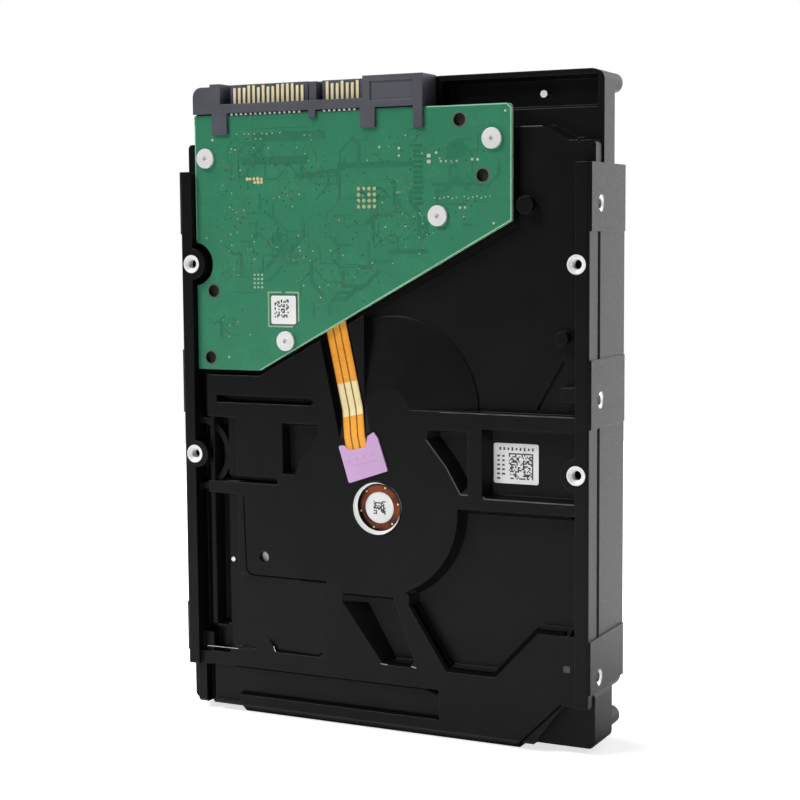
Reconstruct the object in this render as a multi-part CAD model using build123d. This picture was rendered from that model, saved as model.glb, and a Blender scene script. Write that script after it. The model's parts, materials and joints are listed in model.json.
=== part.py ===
from build123d import *
from math import acos, atan2, cos, degrees, hypot, radians, sin
import os

# Three-and-a-half-inch hard disk drive, standing on the end away from its connector.
#
# +Z runs from the standing end to the connector end, -Y is the mounting face that carries
# the circuit board, and +X is to the right when that face is looked at. The origin is under
# the middle of the drive. Heights across the drive are given as depths, counted from the
# mounting face towards the cover. Outlines are drawn in X and Z.

# ------------------------------------------------------------------ envelope
drive_width = 101.6
drive_length = 147.0
drive_height = 26.1
wall_height = 22.4             # cast side walls, from the mounting face
half_width = drive_width / 2

# ------------------------------------------------------------------ mounting holes, 6-32 UNC
screw_hole_radius = 1.75
face_hole_inset = 3.175        # from the side of the drive
face_hole_upper = 41.28        # from the connector end
face_hole_pitch = 44.45
face_hole_deep = 5.0
side_hole_depth = 6.35         # from the mounting face
side_hole_upper = 28.5         # from the connector end
side_hole_middle = 41.61       # from the upper one
side_hole_lower = 101.6        # from the upper one
side_hole_deep = 3.0
hole_boss_wall = 1.85

# ------------------------------------------------------------------ disc stack
spindle_end_gap = 51.2         # spindle axis above the standing end
platter_count = 3
platter_radius = 47.5
platter_bore = 12.5
platter_thick = 1.27
platter_pitch = 3.6
stack_depth = 15.0             # middle of the disc stack
well_gap = 1.1                 # from platter edge to the well wall
spacer_width = 3.4

# ------------------------------------------------------------------ head actuator
pivot_distance = 56.24         # spindle to pivot
head_reach = 43.5              # pivot to heads
park_gap = 1.8                 # parked heads, from the disc edge
park_across = 41.54            # and to the right of the spindle
inner_track = 21.0
arm_thick = 1.2
arm_length = 31.0
arm_root = 6.6
arm_tip = 2.4
comb_radius = 8.0
sleeve_radius = 6.2
sleeve_wall = 0.85
pivot_shaft_radius = 3.0
bearing_width = 2.5
bearing_gap = 0.05
suspension_thick = 0.12
suspension_lap = 3.5
suspension_tab = 3.2
slider_thick = 0.26
slider_long = 1.25
slider_wide = 1.0

preamp_thick = 0.4
preamp_start = -112.0          # degrees from the arms
preamp_stop = -64.0
flex_loop_reach = 10.0
flex_loop_width = 6.4
loop_stop = 226.0              # degrees round the pivot
bracket_start = 178.0
bracket_stop = 192.0
bracket_thick = 3.4
header_wide = 6.4
header_tall = 5.0
header_deep = 3.0
header_gap = 0.8               # from the flex bracket

ramp_gap = 0.5                 # from the disc edge to the ramp
ramp_clear = 0.4               # from the ramp to the wall of its bay
ramp_wall = 3.8                # from the bay to the outside of the rail
ramp_back = 1.9                # width of the ramp's foot
ramp_finger = 0.56
bay_side = 7.8                 # actuator bay, from the sides of the drive
bay_low = 76.0
bay_corner = 4.0

# ------------------------------------------------------------------ voice coil motor
coil_thick = 3.2
coil_inner = 12.4
coil_outer = 24.5
coil_half_angle = 19.0
coil_band = 3.4
frame_wall = 1.2
magnet_thick = 2.0
magnet_gap = 0.8
yoke_thick = 2.0
yoke_edge = 1.5
yoke_overhang = 12.0           # degrees past the travel of the coil
standoff_radius = 1.2
standoff_reach = 21.5
rear_standoff_reach = 28.4
stop_thick = 0.8
stop_gap = 0.4

# ------------------------------------------------------------------ cast base: levels and walls
plateau = 1.0                  # motor plateau, ribs and lower band
left_field = 2.2
right_field = 4.0
board_floor = 4.8
end_ledge = 8.0
end_ledge_back = 14.5
well_floor = 7.0
bay_floor = 8.4
pad_rise = 0.4                 # side pads stand this much proud of the rails
rail_width = 3.0               # front face of a rail
side_start = 14.1              # where the full-height rails start
side_end_gap = 20.0            # and where they end, from the connector end
shoulder_left = 6.4            # lower shoulders past that end
shoulder_right = 4.7
shoulder_round = 1.0
riser_start = 30.0             # riser between the right field and the end ledge
riser_stop = 38.5
riser_gap = 12.2               # its foot, from the connector end
riser_slope = 3.2
corner_reach = 6.0             # cut corner beyond it
corner_slope = 0.7
well_wall = 2.2
nose_inset = 4.3
nose_gap = 3.5                 # from the inner wall's top to the connector end
bay_top_gap = 11.5             # from the actuator bay to the connector end
ledge_gap = 0.2                # end ledge, from the connector end
corner_radius = 3.0
foot_left = -36.5
foot_right = 33.5
foot_bevel = 2.4
foot_recess_low = 4.5
foot_recess_right = 15.0
foot_recess_deep = 1.0
foot_recess_inset = 1.5
corner_step_x = -44.2
rail_low = 11.0                # where the rails start at their full depth
foot_rise = 1.6
knob_width = 5.0
knob_corner = 1.5
knob_near = 3.6
edge_round = 0.6               # front outer edges of the rails
rail_heel = 13.9               # where the rails start behind the knobs
heel_round = 3.0
heel_inset = 0.4
parting_depth = 5.7            # parting groove along the rails, with a bead behind it
parting_wide = 0.5
parting_deep = 0.35
bead_radius = 0.6
bead_rise = 0.22
pad_near = 0.6                 # side pads, from both edges of the rail
pad_below = 5.9                # and how far they reach below and above a hole
pad_above = 8.8
lip_reach = 7.0                # lips on the ledge at both ends
lip_half = 2.1
lip_rise = 5.0
lip_top_gap = 2.6
lip_low = 5.2

# Motor plateau, ribs and pockets on the mounting face
boss_radius = 19.65
boss_slope = 1.35
upper_rib_low = 70.2
upper_rib_high = 73.6
lower_rib_low = 52.3
lower_rib_high = 55.0
cross_rib_right = 25.5
band_low = 11.3                # lower band across the foot
band_high = 15.6
rail_channel = 2.8             # channel beside the left rail
channel_strip = 1.6
channel_depth = 4.8
inner_channel = 2.6
inner_channel_depth = 4.4
field_step = 3.8
band_ramp_end = -13.5          # slope from the left field up to the plateau
band_ramp_top = 33.2
channel_low = 18.5             # left channel, between its ends
channel_high = 80.0
shelf_low = 14.0               # shallow shelf over it
shelf_high = 86.0
shelf_deep = 1.2
strip_low = 20.7
field_low = 16.0
field_corner = 2.4             # round inner corner of the left field
band_bump_x = -29.6            # half-round swelling of the lower band
band_bump_radius = 2.6
hole_curb_radius = 8.6         # curb round the lower left mounting hole
hole_curb_wall = 1.4
slot_depth = 3.6               # slots along the ribs
small_slope = 0.3
channel_slope = 0.8
valley_depth = 5.0
right_step_z = 26.3
scored_width = 0.8             # diagonal groove beside the cone
scored_depth = 0.8
ejector_deep = 0.3
cone_x = 2.9
cone_z = 73.4
cone_radius = 20.8
cone_top = 5.0
cone_step = 0.35

# Small round marks, and what stands beside the rails
ejector_pits = [(-38.9, 36.4, 0.65), (-29.7, 37.8, 1.3)]
field_posts = [(1, 12.2, 118.3, 1.9), (1, 3.8, 90.0, 1.5), (-1, 4.8, 77.6, 1.8)]  # side, from the rail
rail_block = (3.8, 76.6, 79.6)
label_from_rail = 15.0
post_rise = 2.2

# ------------------------------------------------------------------ cover
gasket_thick = 0.6
gasket_width = 1.0
gasket_gap = 0.2
cover_thick = 0.8
cover_top = 26.0
cover_lap = 1.5
pan_inset = 2.4
cover_screw_radius = 2.3
cover_screw_head = 1.1
cover_screw_shank = 1.2
cover_screw_deep = 6.0
screw_land = 3.6
dimple_radius = 5.0
cover_screw_drive = 1.2        # six-lobed recess
cover_screw_clear = 0.15
cover_screw_ring = 5.0         # lower screws, from the well wall
cover_screw_bearing = 37.6     # degrees below the spindle
cover_screw_waist = 3.8        # middle screws, from the sides of the drive
cover_screw_middle = 92.0
cover_screw_out = 3.0          # upper screws, inside the bay's sides and above its top
cover_screw_above = 4.0
label_side = 39.0              # half width of the cover label
label_low = 22.0
label_high = 84.0
label_corner = 2.0

# ------------------------------------------------------------------ filters
filter_pad_long = 9.0
filter_pad_wide = 3.0
filter_pad_gap = 5.4           # from the bay's left wall
filter_pad_z = 90.0
breather_side = 14.0
breather_deep = 7.0
breather_gap = 4.0             # from the bay's left wall
breather_top_gap = 7.5         # and from its top

# ------------------------------------------------------------------ spindle motor
motor_bore = 6.1
motor_collar = 0.3
motor_recess = 1.2
bearing_sleeve_radius = 5.1
thrust_plate_radius = 3.6
spindle_shaft_radius = 2.5
shaft_gap = 0.03
motor_flange_radius = 9.0
motor_flange_thick = 1.0
stator_thick = 4.0
stator_teeth = 9
stator_radius = 9.2
stator_ring = 7.0
tooth_width = 1.5
shoe_width = 4.2
coil_build = 0.85
air_gap = 0.4
magnet_ring = 1.2
hub_top_thick = 2.6
hub_gap = 0.1
clamp_thick = 1.0
clamp_land = 2.6
clamp_screw_reach = 9.2
clamp_screw_count = 6
clamp_screw_radius = 1.5
clamp_screw_head = 0.8
clamp_screw_shank = 0.75
clamp_screw_drive = 0.75

# ------------------------------------------------------------------ circuit board
board_depth = 1.5
board_thick = 1.0
board_gap = 0.4                # to the left rail
board_right = 32.4
board_top_gap = 7.2            # from the connector end
board_bottom_gap = 65.8
board_knee_x = -30.4
board_knee_gap = 32.0          # from the connector end
board_corner = 1.0
board_notch = 5.0
board_hole = 1.4
board_screw_head_radius = 2.25
board_screw_head = 0.65
board_screw_shank = 1.4
board_screw_deep = 3.6
board_screw_drive = 0.6         # six-lobed recess
board_post = 3.2
foam_thick = 1.0
chip_thick = 1.2
part_thick = 0.8

# ------------------------------------------------------------------ connector
contact_pitch = 1.27
contact_width = 0.9
contact_thick = 0.25
contact_length = 4.1
contact_tail = 0.8
power_contacts = 15
signal_contacts = 7
power_start = -36.8            # first power contact
signal_start = -12.6           # first signal contact
contact_depth = 3.0
tongue_thick = 1.25
housing_left = -47.0
housing_right = 11.8
housing_low_gap = 9.3
housing_near = 0.9
housing_far = 7.9
housing_round = 2.2            # free upper corner
housing_mouth = 4.8            # depth of the mouth round the contacts

# ------------------------------------------------------------------ flat flex to the motor
flex_width = 5.3
flex_thick = 0.2
flex_foot_x = -4.9
flex_foot_z = 64.3
flex_head_x = -11.0
flex_head_z = 92.6
flex_gap = 0.5
flex_tuck = 7.0
patch_thick = 0.25
label_thick = 0.1

# ------------------------------------------------------------------ worked-out places
spindle_x = 0.0
spindle_z = spindle_end_gap
side_end = drive_length - side_end_gap
rail_side = half_width - pad_rise
rail_inner = rail_side - rail_width
well_radius = platter_radius + well_gap
park_radius = platter_radius + park_gap
ramp_bay_right = rail_side - ramp_wall
bay_top = drive_length - bay_top_gap
bay_half = half_width - bay_side
face_hole_x = half_width - face_hole_inset
face_hole_z = [drive_length - face_hole_upper - turn * face_hole_pitch for turn in (0, 1)]
side_hole_z = [drive_length - side_hole_upper - step for step in (0, side_hole_middle, side_hole_lower)]
platter_depths = [stack_depth + (turn - (platter_count - 1) / 2) * platter_pitch
                  for turn in range(platter_count)]
arm_depths = [stack_depth + (turn - platter_count / 2) * platter_pitch
              for turn in range(platter_count + 1)]
stack_near = platter_depths[0] - platter_thick / 2
stack_far = platter_depths[-1] + platter_thick / 2
comb_near = arm_depths[0] - arm_thick / 2
comb_far = arm_depths[-1] + arm_thick / 2
pivot_sides = park_radius ** 2 + pivot_distance ** 2 - head_reach ** 2
pivot_bearing = acos(park_across / park_radius) + acos(pivot_sides / (2 * park_radius * pivot_distance))
pivot_x = spindle_x + pivot_distance * cos(pivot_bearing)
pivot_z = spindle_z + pivot_distance * sin(pivot_bearing)
pivot_line = degrees(pivot_bearing) + 180


def swing(radius):
    """Angle at the pivot between the spindle and heads that stand at a disc radius."""
    sides = pivot_distance ** 2 + head_reach ** 2 - radius ** 2
    return degrees(acos(sides / (2 * pivot_distance * head_reach)))


park_angle = pivot_line + swing(park_radius)
inner_angle = pivot_line + swing(inner_track)
coil_near = stack_depth - coil_thick / 2
coil_far = stack_depth + coil_thick / 2
lower_magnet_near = coil_near - magnet_gap - magnet_thick
upper_magnet_near = coil_far + magnet_gap
lower_yoke_near = lower_magnet_near - yoke_thick
upper_yoke_near = upper_magnet_near + magnet_thick
frame_outer = coil_outer + frame_wall
frame_half_angle = coil_half_angle + degrees(frame_wall / coil_outer)
stop_clear = degrees((standoff_radius + stop_thick + stop_gap) / standoff_reach)
board_left = -(rail_inner - board_gap)
board_top = drive_length - board_top_gap
board_bottom = drive_length - board_bottom_gap
board_knee_z = drive_length - board_knee_gap
board_back = board_depth + board_thick
board_middle = (board_left + board_right) / 2
cover_flange = wall_height + gasket_thick


def on_board(across, below):
    """Place on the board, from its middle and its top edge."""
    return board_middle + across, board_top - below


board_screws_at = [on_board(-36.7, 9.8), on_board(35.3, 7.3), on_board(22.5, 23.6), on_board(-15.9, 51.6)]
board_rings = [on_board(27.6, 3.1), on_board(33.0, 15.1), on_board(-35.2, 40.3), on_board(-36.3, 55.8)]
board_code_label_at = on_board(-16.5, 44.5)
base_code_label_at = (rail_inner - label_from_rail, (lower_rib_high + upper_rib_low) / 2)
low_reach = well_radius + cover_screw_ring
low_across = low_reach * cos(radians(cover_screw_bearing))
low_down = low_reach * sin(radians(cover_screw_bearing))
cover_screws_at = [(side * x, z)
                   for x, z in ((low_across, spindle_z - low_down),
                                (half_width - cover_screw_waist, cover_screw_middle),
                                (bay_half - cover_screw_out, bay_top + cover_screw_above))
                   for side in (-1, 1)]


# ------------------------------------------------------------------ shape helpers
def level(depth):
    """Y of the plane at a depth behind the mounting face."""
    return depth - drive_height / 2


def plane_at(depth):
    """Plane of X-Z outlines at a depth, facing out of the mounting face."""
    return Plane(origin=(0, level(depth), 0), x_dir=(1, 0, 0), z_dir=(0, -1, 0))


def slab(outline, near, far):
    """Solid over an outline, between two depths."""
    return extrude(plane_at(far) * outline, far - near)


def area(x_low, x_high, z_low, z_high):
    """Rectangle between its edges."""
    return Pos((x_low + x_high) / 2, (z_low + z_high) / 2) * Rectangle(x_high - x_low, z_high - z_low)


def rounded(x_low, x_high, z_low, z_high, radius):
    """Rectangle between its edges with round corners."""
    blank = RectangleRounded(x_high - x_low, z_high - z_low, radius)
    return Pos((x_low + x_high) / 2, (z_low + z_high) / 2) * blank


def polygon(*points):
    """Closed outline through points in X and Z."""
    return make_face(Polyline(*points, close=True))


def disc(x, z, radius, near, far):
    """Round solid across the drive."""
    return slab(Pos(x, z) * Circle(radius), near, far)


def ring(x, z, outer, inner, near, far):
    """Round tube across the drive."""
    return slab(Pos(x, z) * (Circle(outer) - Circle(inner)), near, far)


def sector(inner, outer, start, end):
    """Part of a flat ring about the origin, between two angles in degrees."""
    outside = CenterArc((0, 0), outer, start, end - start)
    inside = CenterArc((0, 0), inner, start, end - start)
    sides = [Line(outside @ 0, inside @ 0), Line(outside @ 1, inside @ 1)]
    return make_face([outside, inside, *sides])


def pocket(outline, near, far, slope):
    """Cutter over an outline at its mouth, whose walls lean in by slope down to its floor."""
    mouth = plane_at(near) * outline
    floor = plane_at(far) * offset(outline, -slope, kind=Kind.INTERSECTION)
    return loft([mouth.face(), floor.face()], ruled=True)


def leaning(mouth, floor, near, far):
    """Cutter between two outlines of as many corners, at two depths."""
    return loft([(plane_at(near) * mouth).face(), (plane_at(far) * floor).face()], ruled=True)


def at_pivot(outline, angle):
    """Outline turned and set on the actuator's pivot."""
    return Pos(pivot_x, pivot_z) * Rot(0, 0, angle) * outline


def polar(reach, angle):
    """Place at a reach from the actuator's pivot."""
    return (pivot_x + reach * cos(radians(angle)), pivot_z + reach * sin(radians(angle)))


def star(radius, points=6):
    """Six-lobed drive of a screw."""
    outline = Circle(radius * 0.72)
    for turn in range(points):
        outline += Rot(0, 0, turn * 360 / points) * Pos(radius * 0.72, 0) * Circle(radius * 0.28)
    return outline


def screw(x, z, head_radius, drive, head, shank, seat, length, outward=-1):
    """Flat-head screw with a six-lobed drive; its head stands outward from its seat."""
    top = seat + outward * head
    tip = seat - outward * length
    body = disc(x, z, head_radius, min(seat, top), max(seat, top))
    body += disc(x, z, shank, min(seat, tip), max(seat, tip))
    drive_floor = top - outward * head * 0.7
    return body - slab(Pos(x, z) * star(drive), min(top, drive_floor), max(top, drive_floor))


# ------------------------------------------------------------------ cast base
def ramp_sector(inner, grow=0.0):
    """Ring part about the pivot, from a radius out to the back of the load ramp."""
    outer = head_reach + suspension_tab + 0.3 + ramp_back + grow
    turn = degrees(grow / outer)
    return Pos(pivot_x, pivot_z) * sector(inner, outer, park_angle - 6 - turn, park_angle + 5 + turn)


def ramp_outline():
    """Outline of the load ramp's foot, outside the discs."""
    foot = ramp_sector(head_reach + suspension_tab + 0.3)
    return foot & area(0, ramp_bay_right - ramp_clear, 0, drive_length)


def ramp_bay_outline(grow=0.0):
    """Outline of the bay round the load ramp and the parked heads."""
    bay = ramp_sector(arm_length, ramp_clear + grow)
    return bay & area(0, ramp_bay_right + grow, 0, drive_length)


def disc_and_bay_outline(grow=0.0):
    """Outline of the disc well and the actuator bay."""
    well = Pos(spindle_x, spindle_z) * Circle(well_radius + grow)
    return well + rounded(-bay_half - grow, bay_half + grow, bay_low - grow, bay_top + grow, bay_corner)


def cavity_outline(grow=0.0):
    """Outline of the sealed space: the disc well, the actuator bay and the bay of the ramp."""
    return disc_and_bay_outline(grow) + ramp_bay_outline(grow)


def box_outline():
    """Outline of the cast walls from the plateau to the rim."""
    bowl = Pos(spindle_x, spindle_z) * Circle(well_radius + well_wall)
    bowl &= area(-rail_side, rail_side, foot_rise, side_end)
    sides = area(-rail_side, rail_side, side_start, side_end)
    nose_half = half_width - nose_inset
    nose = rounded(-nose_half, nose_half, side_end - 20, drive_length - nose_gap, corner_radius)
    foot = area(foot_left, foot_right, 0, side_start)
    return bowl + sides + nose + foot


def cast_body():
    """Cast box with its rails, end ledges, side pads and foot, before it is cut."""
    body = slab(box_outline(), plateau, wall_height)
    flange = area(-half_width + 2.5, half_width - 2.5, foot_rise, side_start + 3)
    body += slab(flange, plateau, end_ledge_back)
    for side in (-1, 1):
        edges = sorted((side * rail_inner, side * rail_side))
        body += slab(area(*edges, rail_low, side_end), 0, end_ledge_back)
        body += slab(rail_back_outline(side), end_ledge_back, wall_height)
        body += slab(shoulder_outline(side), right_field, end_ledge_back)
        body += side_bead(side)
        for z in side_hole_z:
            pad = sorted((side * (rail_side - 1), side * half_width))
            pad_outline = area(*pad, max(z - pad_below, side_start), min(z + pad_above, side_end))
            body += slab(pad_outline, pad_near, wall_height - pad_near)
        for z in face_hole_z:
            boss = disc(side * face_hole_x, z, screw_hole_radius + hole_boss_wall, 0, wall_height)
            body += boss & slab(area(-rail_side, rail_side, 0, drive_length), 0, wall_height)
    ledge = rounded(-half_width, half_width, side_end - 6, drive_length - ledge_gap, corner_radius)
    body += slab(ledge, end_ledge, end_ledge_back)
    for side in (-1, 1):
        knob = sorted((side * (rail_side - knob_width), side * half_width))
        body += slab(rounded(*knob, foot_rise, side_start, knob_corner), knob_near, end_ledge_back)
        for z in (drive_length - lip_top_gap, lip_low):
            lip = sorted((side * (half_width - lip_reach), side * half_width))
            lip_outline = rounded(*lip, z - lip_half, z + lip_half, lip_half - 0.1)
            body += slab(lip_outline, end_ledge, end_ledge_back + lip_rise)
    return body


def shoulder_outline(side):
    """Outline of the lower shoulder past the end of a rail."""
    rise = shoulder_left if side < 0 else shoulder_right
    edges = sorted((side * (rail_inner - 1), side * rail_side))
    return rounded(*edges, side_end - 2, side_end + rise, shoulder_round)


def rail_back_outline(side):
    """Outline of a rail behind the knobs, with a round heel at its lower outer corner."""
    edges = sorted((side * rail_inner, side * rail_side))
    heel = Pos(side * (rail_side - heel_inset - heel_round), rail_heel) * Circle(heel_round)
    heel &= area(*edges, rail_heel - heel_round, rail_heel)
    return area(*edges, rail_heel, side_end) + heel


def along_rail(profile, low, high):
    """Solid of an outline drawn in X and depth, between two heights."""
    frame = Plane(origin=(0, level(0), low), x_dir=(1, 0, 0), z_dir=(0, 0, 1))
    return extrude(frame * profile, high - low)


def side_bead(side):
    """Low bead along the rail, behind the parting groove."""
    middle = side * (rail_side + bead_rise - bead_radius)
    depth = parting_depth + parting_wide / 2 + bead_radius
    return along_rail(Pos(middle, depth) * Circle(bead_radius), side_start, side_end)


def rail_cutters():
    """Round front edges of the rails and the parting groove in their sides."""
    cutters = []
    for side in (-1, 1):
        corner = Pos(side * (rail_side - edge_round / 2), edge_round / 2) * Rectangle(edge_round, edge_round)
        corner += Pos(side * (rail_side + 0.5), edge_round / 2) * Rectangle(1, edge_round)
        corner -= Pos(side * (rail_side - edge_round), edge_round) * Circle(edge_round)
        cutters.append(along_rail(corner, rail_low, side_end))
        groove = Pos(side * rail_side, parting_depth) * Rectangle(2 * parting_deep, parting_wide)
        stops = [rail_low, *reversed(side_hole_z), side_end + pad_below]
        for lower, upper in zip(stops, stops[1:]):
            low = lower + pad_above if lower in side_hole_z else side_start
            high = upper - pad_below
            if high > low:
                cutters.append(along_rail(groove, low, high))
    return cutters


def plateau_mouth():
    """Outline of the deep field to the right of the motor plateau, at its mouth."""
    rim = Pos(spindle_x, spindle_z) * Circle(boss_radius)
    field = polygon((0, lower_rib_low), (rail_inner, lower_rib_low), (rail_inner, right_step_z),
                    (38.6, right_step_z), (28.6, band_high), (16.9, band_high), (7.7, 29.8), (7.7, 32.0),
                    (0, 38))
    return (field - rim).faces().sort_by(Axis.X)[-1]


def left_cutters():
    """Channels, grooves and pockets to the left of the motor plateau."""
    left_rail = -rail_inner
    strip_left = left_rail + rail_channel
    strip_right = strip_left + channel_strip
    field_left = strip_right + inner_channel
    field_right = field_left + field_step
    inner_right = field_left + 1.2
    shelf = plateau + shelf_deep
    slot_left = strip_right + 1
    rib_slot = polygon((slot_left, upper_rib_high), (-17.0, upper_rib_high), (-15.8, upper_rib_high + 0.9),
                       (-17.0, upper_rib_high + 1.7), (slot_left, upper_rib_high + 1.7))
    lower_slot = area(slot_left, -25.8, lower_rib_high, lower_rib_high + 1.6)
    cutters = [
        slab(area(left_rail, strip_left, channel_low, channel_high), 0, channel_depth),
        slab(area(left_rail, strip_left + 0.1, shelf_low, shelf_high), 0, shelf),
        slab(area(strip_left, inner_right, field_low - 1.8, strip_low), 0, channel_depth),
        pocket(rib_slot, plateau, slot_depth, small_slope),
        pocket(lower_slot, plateau, slot_depth, small_slope),
    ]
    for low, high in ((strip_low, lower_rib_low), (lower_rib_high, upper_rib_low)):
        cutters.append(slab(area(strip_left, strip_right, low, high), 0, shelf))
        inner = area(strip_right, inner_right, low, high)
        cutters.append(pocket(inner, plateau, inner_channel_depth, channel_slope))
    for low, high in ((field_low, lower_rib_low), (lower_rib_high, upper_rib_low)):
        cutters.append(slab(area(field_left, field_right, low, high), 0, left_field))
    corner = area(field_right, field_right + field_corner, band_ramp_top, band_ramp_top + field_corner)
    corner -= Pos(field_right + field_corner, band_ramp_top + field_corner) * Circle(field_corner)
    cutters.append(slab(corner, 0, left_field))
    ramp = [(field_left, 0), (band_ramp_end, 0), (band_ramp_end, plateau), (field_left, left_field)]
    side_view = Plane(origin=(0, level(0), band_ramp_top), x_dir=(1, 0, 0), z_dir=(0, 0, -1))
    wedge = side_view * polygon(*[(x, -depth) for x, depth in ramp])
    cutters.append(extrude(wedge, band_ramp_top - band_high))
    triangle = polygon((-24.4, 69.4), (-14.6, 69.4), (-15.0, 66.8), (-20.2, 60.2), (-21.2, 57.5),
                       (-24.4, 57.5))
    cutters.append(pocket(triangle, plateau, slot_depth, channel_slope))
    valley_mouth = polygon((-9.0, 31.2), (3.9, 31.2), (8.9, 17.2), (7.9, band_high), (1.2, band_high),
                           (-9.3, 29.4))
    valley_floor = polygon((-4.0, 30.4), (3.1, 30.4), (8.2, 17.4), (7.6, band_high + 0.8),
                           (2.6, band_high + 0.8), (-4.4, 28.6))
    cutters.append(leaning(valley_mouth, valley_floor, plateau, valley_depth))
    return cutters


def right_cutters():
    """Fields and pockets to the right of the motor plateau."""
    field_top = board_knee_z + 20
    riser_low = drive_length - riser_gap
    upper = polygon((-3, upper_rib_high), (rail_inner, upper_rib_high), (rail_inner, riser_low),
                    (riser_start, riser_low), (riser_start, field_top), (-3, 100))
    return [
        pocket(plateau_mouth(), plateau, right_field, boss_slope),
        slab(plateau_mouth(), 0, plateau),
        slab(area(rail_inner - 1.5, rail_inner, right_step_z, lower_rib_low), 0, right_field),
        leaning(area(cross_rib_right, rail_inner, lower_rib_high, upper_rib_low),
                area(cross_rib_right + 1.5, rail_inner, lower_rib_high + 0.6, upper_rib_low - 0.5),
                plateau, right_field),
        leaning(polygon((12.6, 69.4), (22.2, 69.4), (22.2, 55.6), (20.6, 55.6), (17.2, 61.4), (12.2, 67.4)),
                polygon((14.4, 68.8), (21.6, 68.8), (21.6, 57.8), (21.4, 57.6), (18.7, 62.4), (14.2, 67.9)),
                plateau, right_field),
        slab(upper, 0, right_field),
        slab(scored_groove(), right_field - 1, right_field + scored_depth),
        pocket(area(housing_right + 1.4, half_width - 1.4, drive_length - 8.2, drive_length - 1.4),
               end_ledge, end_ledge + 3.2, 2 * small_slope),
    ]


def scored_groove():
    """Diagonal groove between the cone and the right rail."""
    low, high = (37.5, upper_rib_high + 0.9), (43.5, 85.0)
    run = hypot(high[0] - low[0], high[1] - low[1])
    turn = degrees(atan2(high[1] - low[1], high[0] - low[0]))
    return Pos(*low) * Rot(0, 0, turn) * Pos(run / 2, 0) * Rectangle(run, scored_width)


def cone_solid():
    """Low cone between the upper rib and the circuit board."""
    span = Pos(cone_x, cone_z) * Circle(cone_radius)
    span &= area(-4.0, cone_x + cone_radius, upper_rib_high - 0.4, cone_z + cone_radius)
    profile = polygon((0, plateau), (cone_top, plateau), (cone_radius, right_field - cone_step),
                      (cone_radius, right_field + 1), (0, right_field + 1))
    turned = Plane(origin=(cone_x, level(0), cone_z), x_dir=(1, 0, 0), z_dir=(0, 0, 1)) * profile
    cone = revolve(turned, Axis((cone_x, 0, cone_z), (0, 1, 0)), 360)
    return cone & slab(span, 0, right_field + 1)


def flex_frame():
    """Direction of the motor flex from its foot, and its length."""
    run_x = flex_head_x - flex_foot_x
    run_z = flex_head_z - flex_foot_z
    length = hypot(run_x, run_z)
    return run_x / length, run_z / length, length


def along_flex(profile, width):
    """Solid of a side view drawn along the flex, with depths counted downwards."""
    along_x, along_z, _ = flex_frame()
    across = (along_z, 0, -along_x)
    origin = (flex_foot_x - across[0] * width / 2, level(0), flex_foot_z - across[2] * width / 2)
    frame = Plane(origin=origin, x_dir=(along_x, 0, along_z), z_dir=across)
    outline = polygon(*[(reach, -depth) for reach, depth in profile])
    return extrude(frame * outline, width)


def end_cutters():
    """Board pocket, connector bay, both ends and the holes of the cast base."""
    _, _, flex_length = flex_frame()
    pocket_left = board_left - board_gap
    pocket_right = board_right + 1.0
    pocket_low = board_bottom - 1.2
    board_area = polygon((pocket_left, pocket_low), (board_knee_x, pocket_low),
                         (pocket_right, board_knee_z - 1.4), (pocket_right, board_top + 1),
                         (pocket_left, board_top + 1))
    notch_guard = Pos(-face_hole_x, face_hole_z[0]) * Circle(screw_hole_radius + hole_boss_wall)
    run_far = flex_length + 12
    flex_floor = board_floor - 1.6
    run_profile = [(3.0, -1), (3.0, plateau), (9.0, flex_floor), (run_far, flex_floor), (run_far, -1)]
    flex_run = along_flex(run_profile, flex_width + 2 * flex_gap + 1.6)
    ledge_area = area(-half_width, half_width, drive_length - riser_gap + 0.2, drive_length + 1)
    foot_corner = polygon((35.5, -1), (44.6, rail_low), (half_width + 1, rail_low), (half_width + 1, -1))
    foot_recess_left = foot_left - foot_recess_inset
    recess_far = plateau + foot_recess_deep
    connector_bay = area(-half_width, housing_right + 0.8, drive_length - 9.9, drive_length + 1)
    cutters = [
        slab(board_area - notch_guard, 0, board_floor),
        flex_run,
        slab(connector_bay, 0, housing_far + 0.3),
        slab(area(-half_width, half_width, side_end, drive_length + 1), 0, right_field - 1),
        slab(area(rail_inner - 1, half_width, side_end, drive_length + 1), 0, right_field),
        slab(ledge_area, 0, end_ledge),
        along_end(),
        ledge_corner(),
        slab(area(foot_recess_left, foot_recess_right, foot_recess_low, band_low), 0, recess_far),
        slab(area(corner_step_x, foot_left, 2.6, band_low), 0, recess_far),
        slab(area(corner_step_x - 1.8, corner_step_x, 0, rail_low), 0, knob_near),
        slab(foot_corner, 0, knob_near),
        disc(36.9, drive_length - 5.1, 0.8, 0, wall_height),
    ]
    foot_profile = Plane(origin=(-half_width - 1, level(0), 0), x_dir=(0, 1, 0), z_dir=(1, 0, 0))
    bevel = foot_profile * polygon((-1, -1), (plateau + foot_bevel, -1), (plateau + foot_bevel, 0),
                                   (plateau, foot_rise + 0.6), (-1, foot_rise + 0.6))
    cutters.append(extrude(bevel, drive_width + 2))
    return cutters


def along_end():
    """Sloped riser from the deep field up to the ledge of the connector end."""
    face = Plane(origin=(riser_start, level(0), 0), x_dir=(0, 1, 0), z_dir=(1, 0, 0))
    low = drive_length - riser_gap
    slope = face * polygon((0, low), (right_field, low), (end_ledge, low + riser_slope),
                           (end_ledge, drive_length + 1), (0, drive_length + 1))
    return extrude(slope, riser_stop - riser_start)


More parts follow.
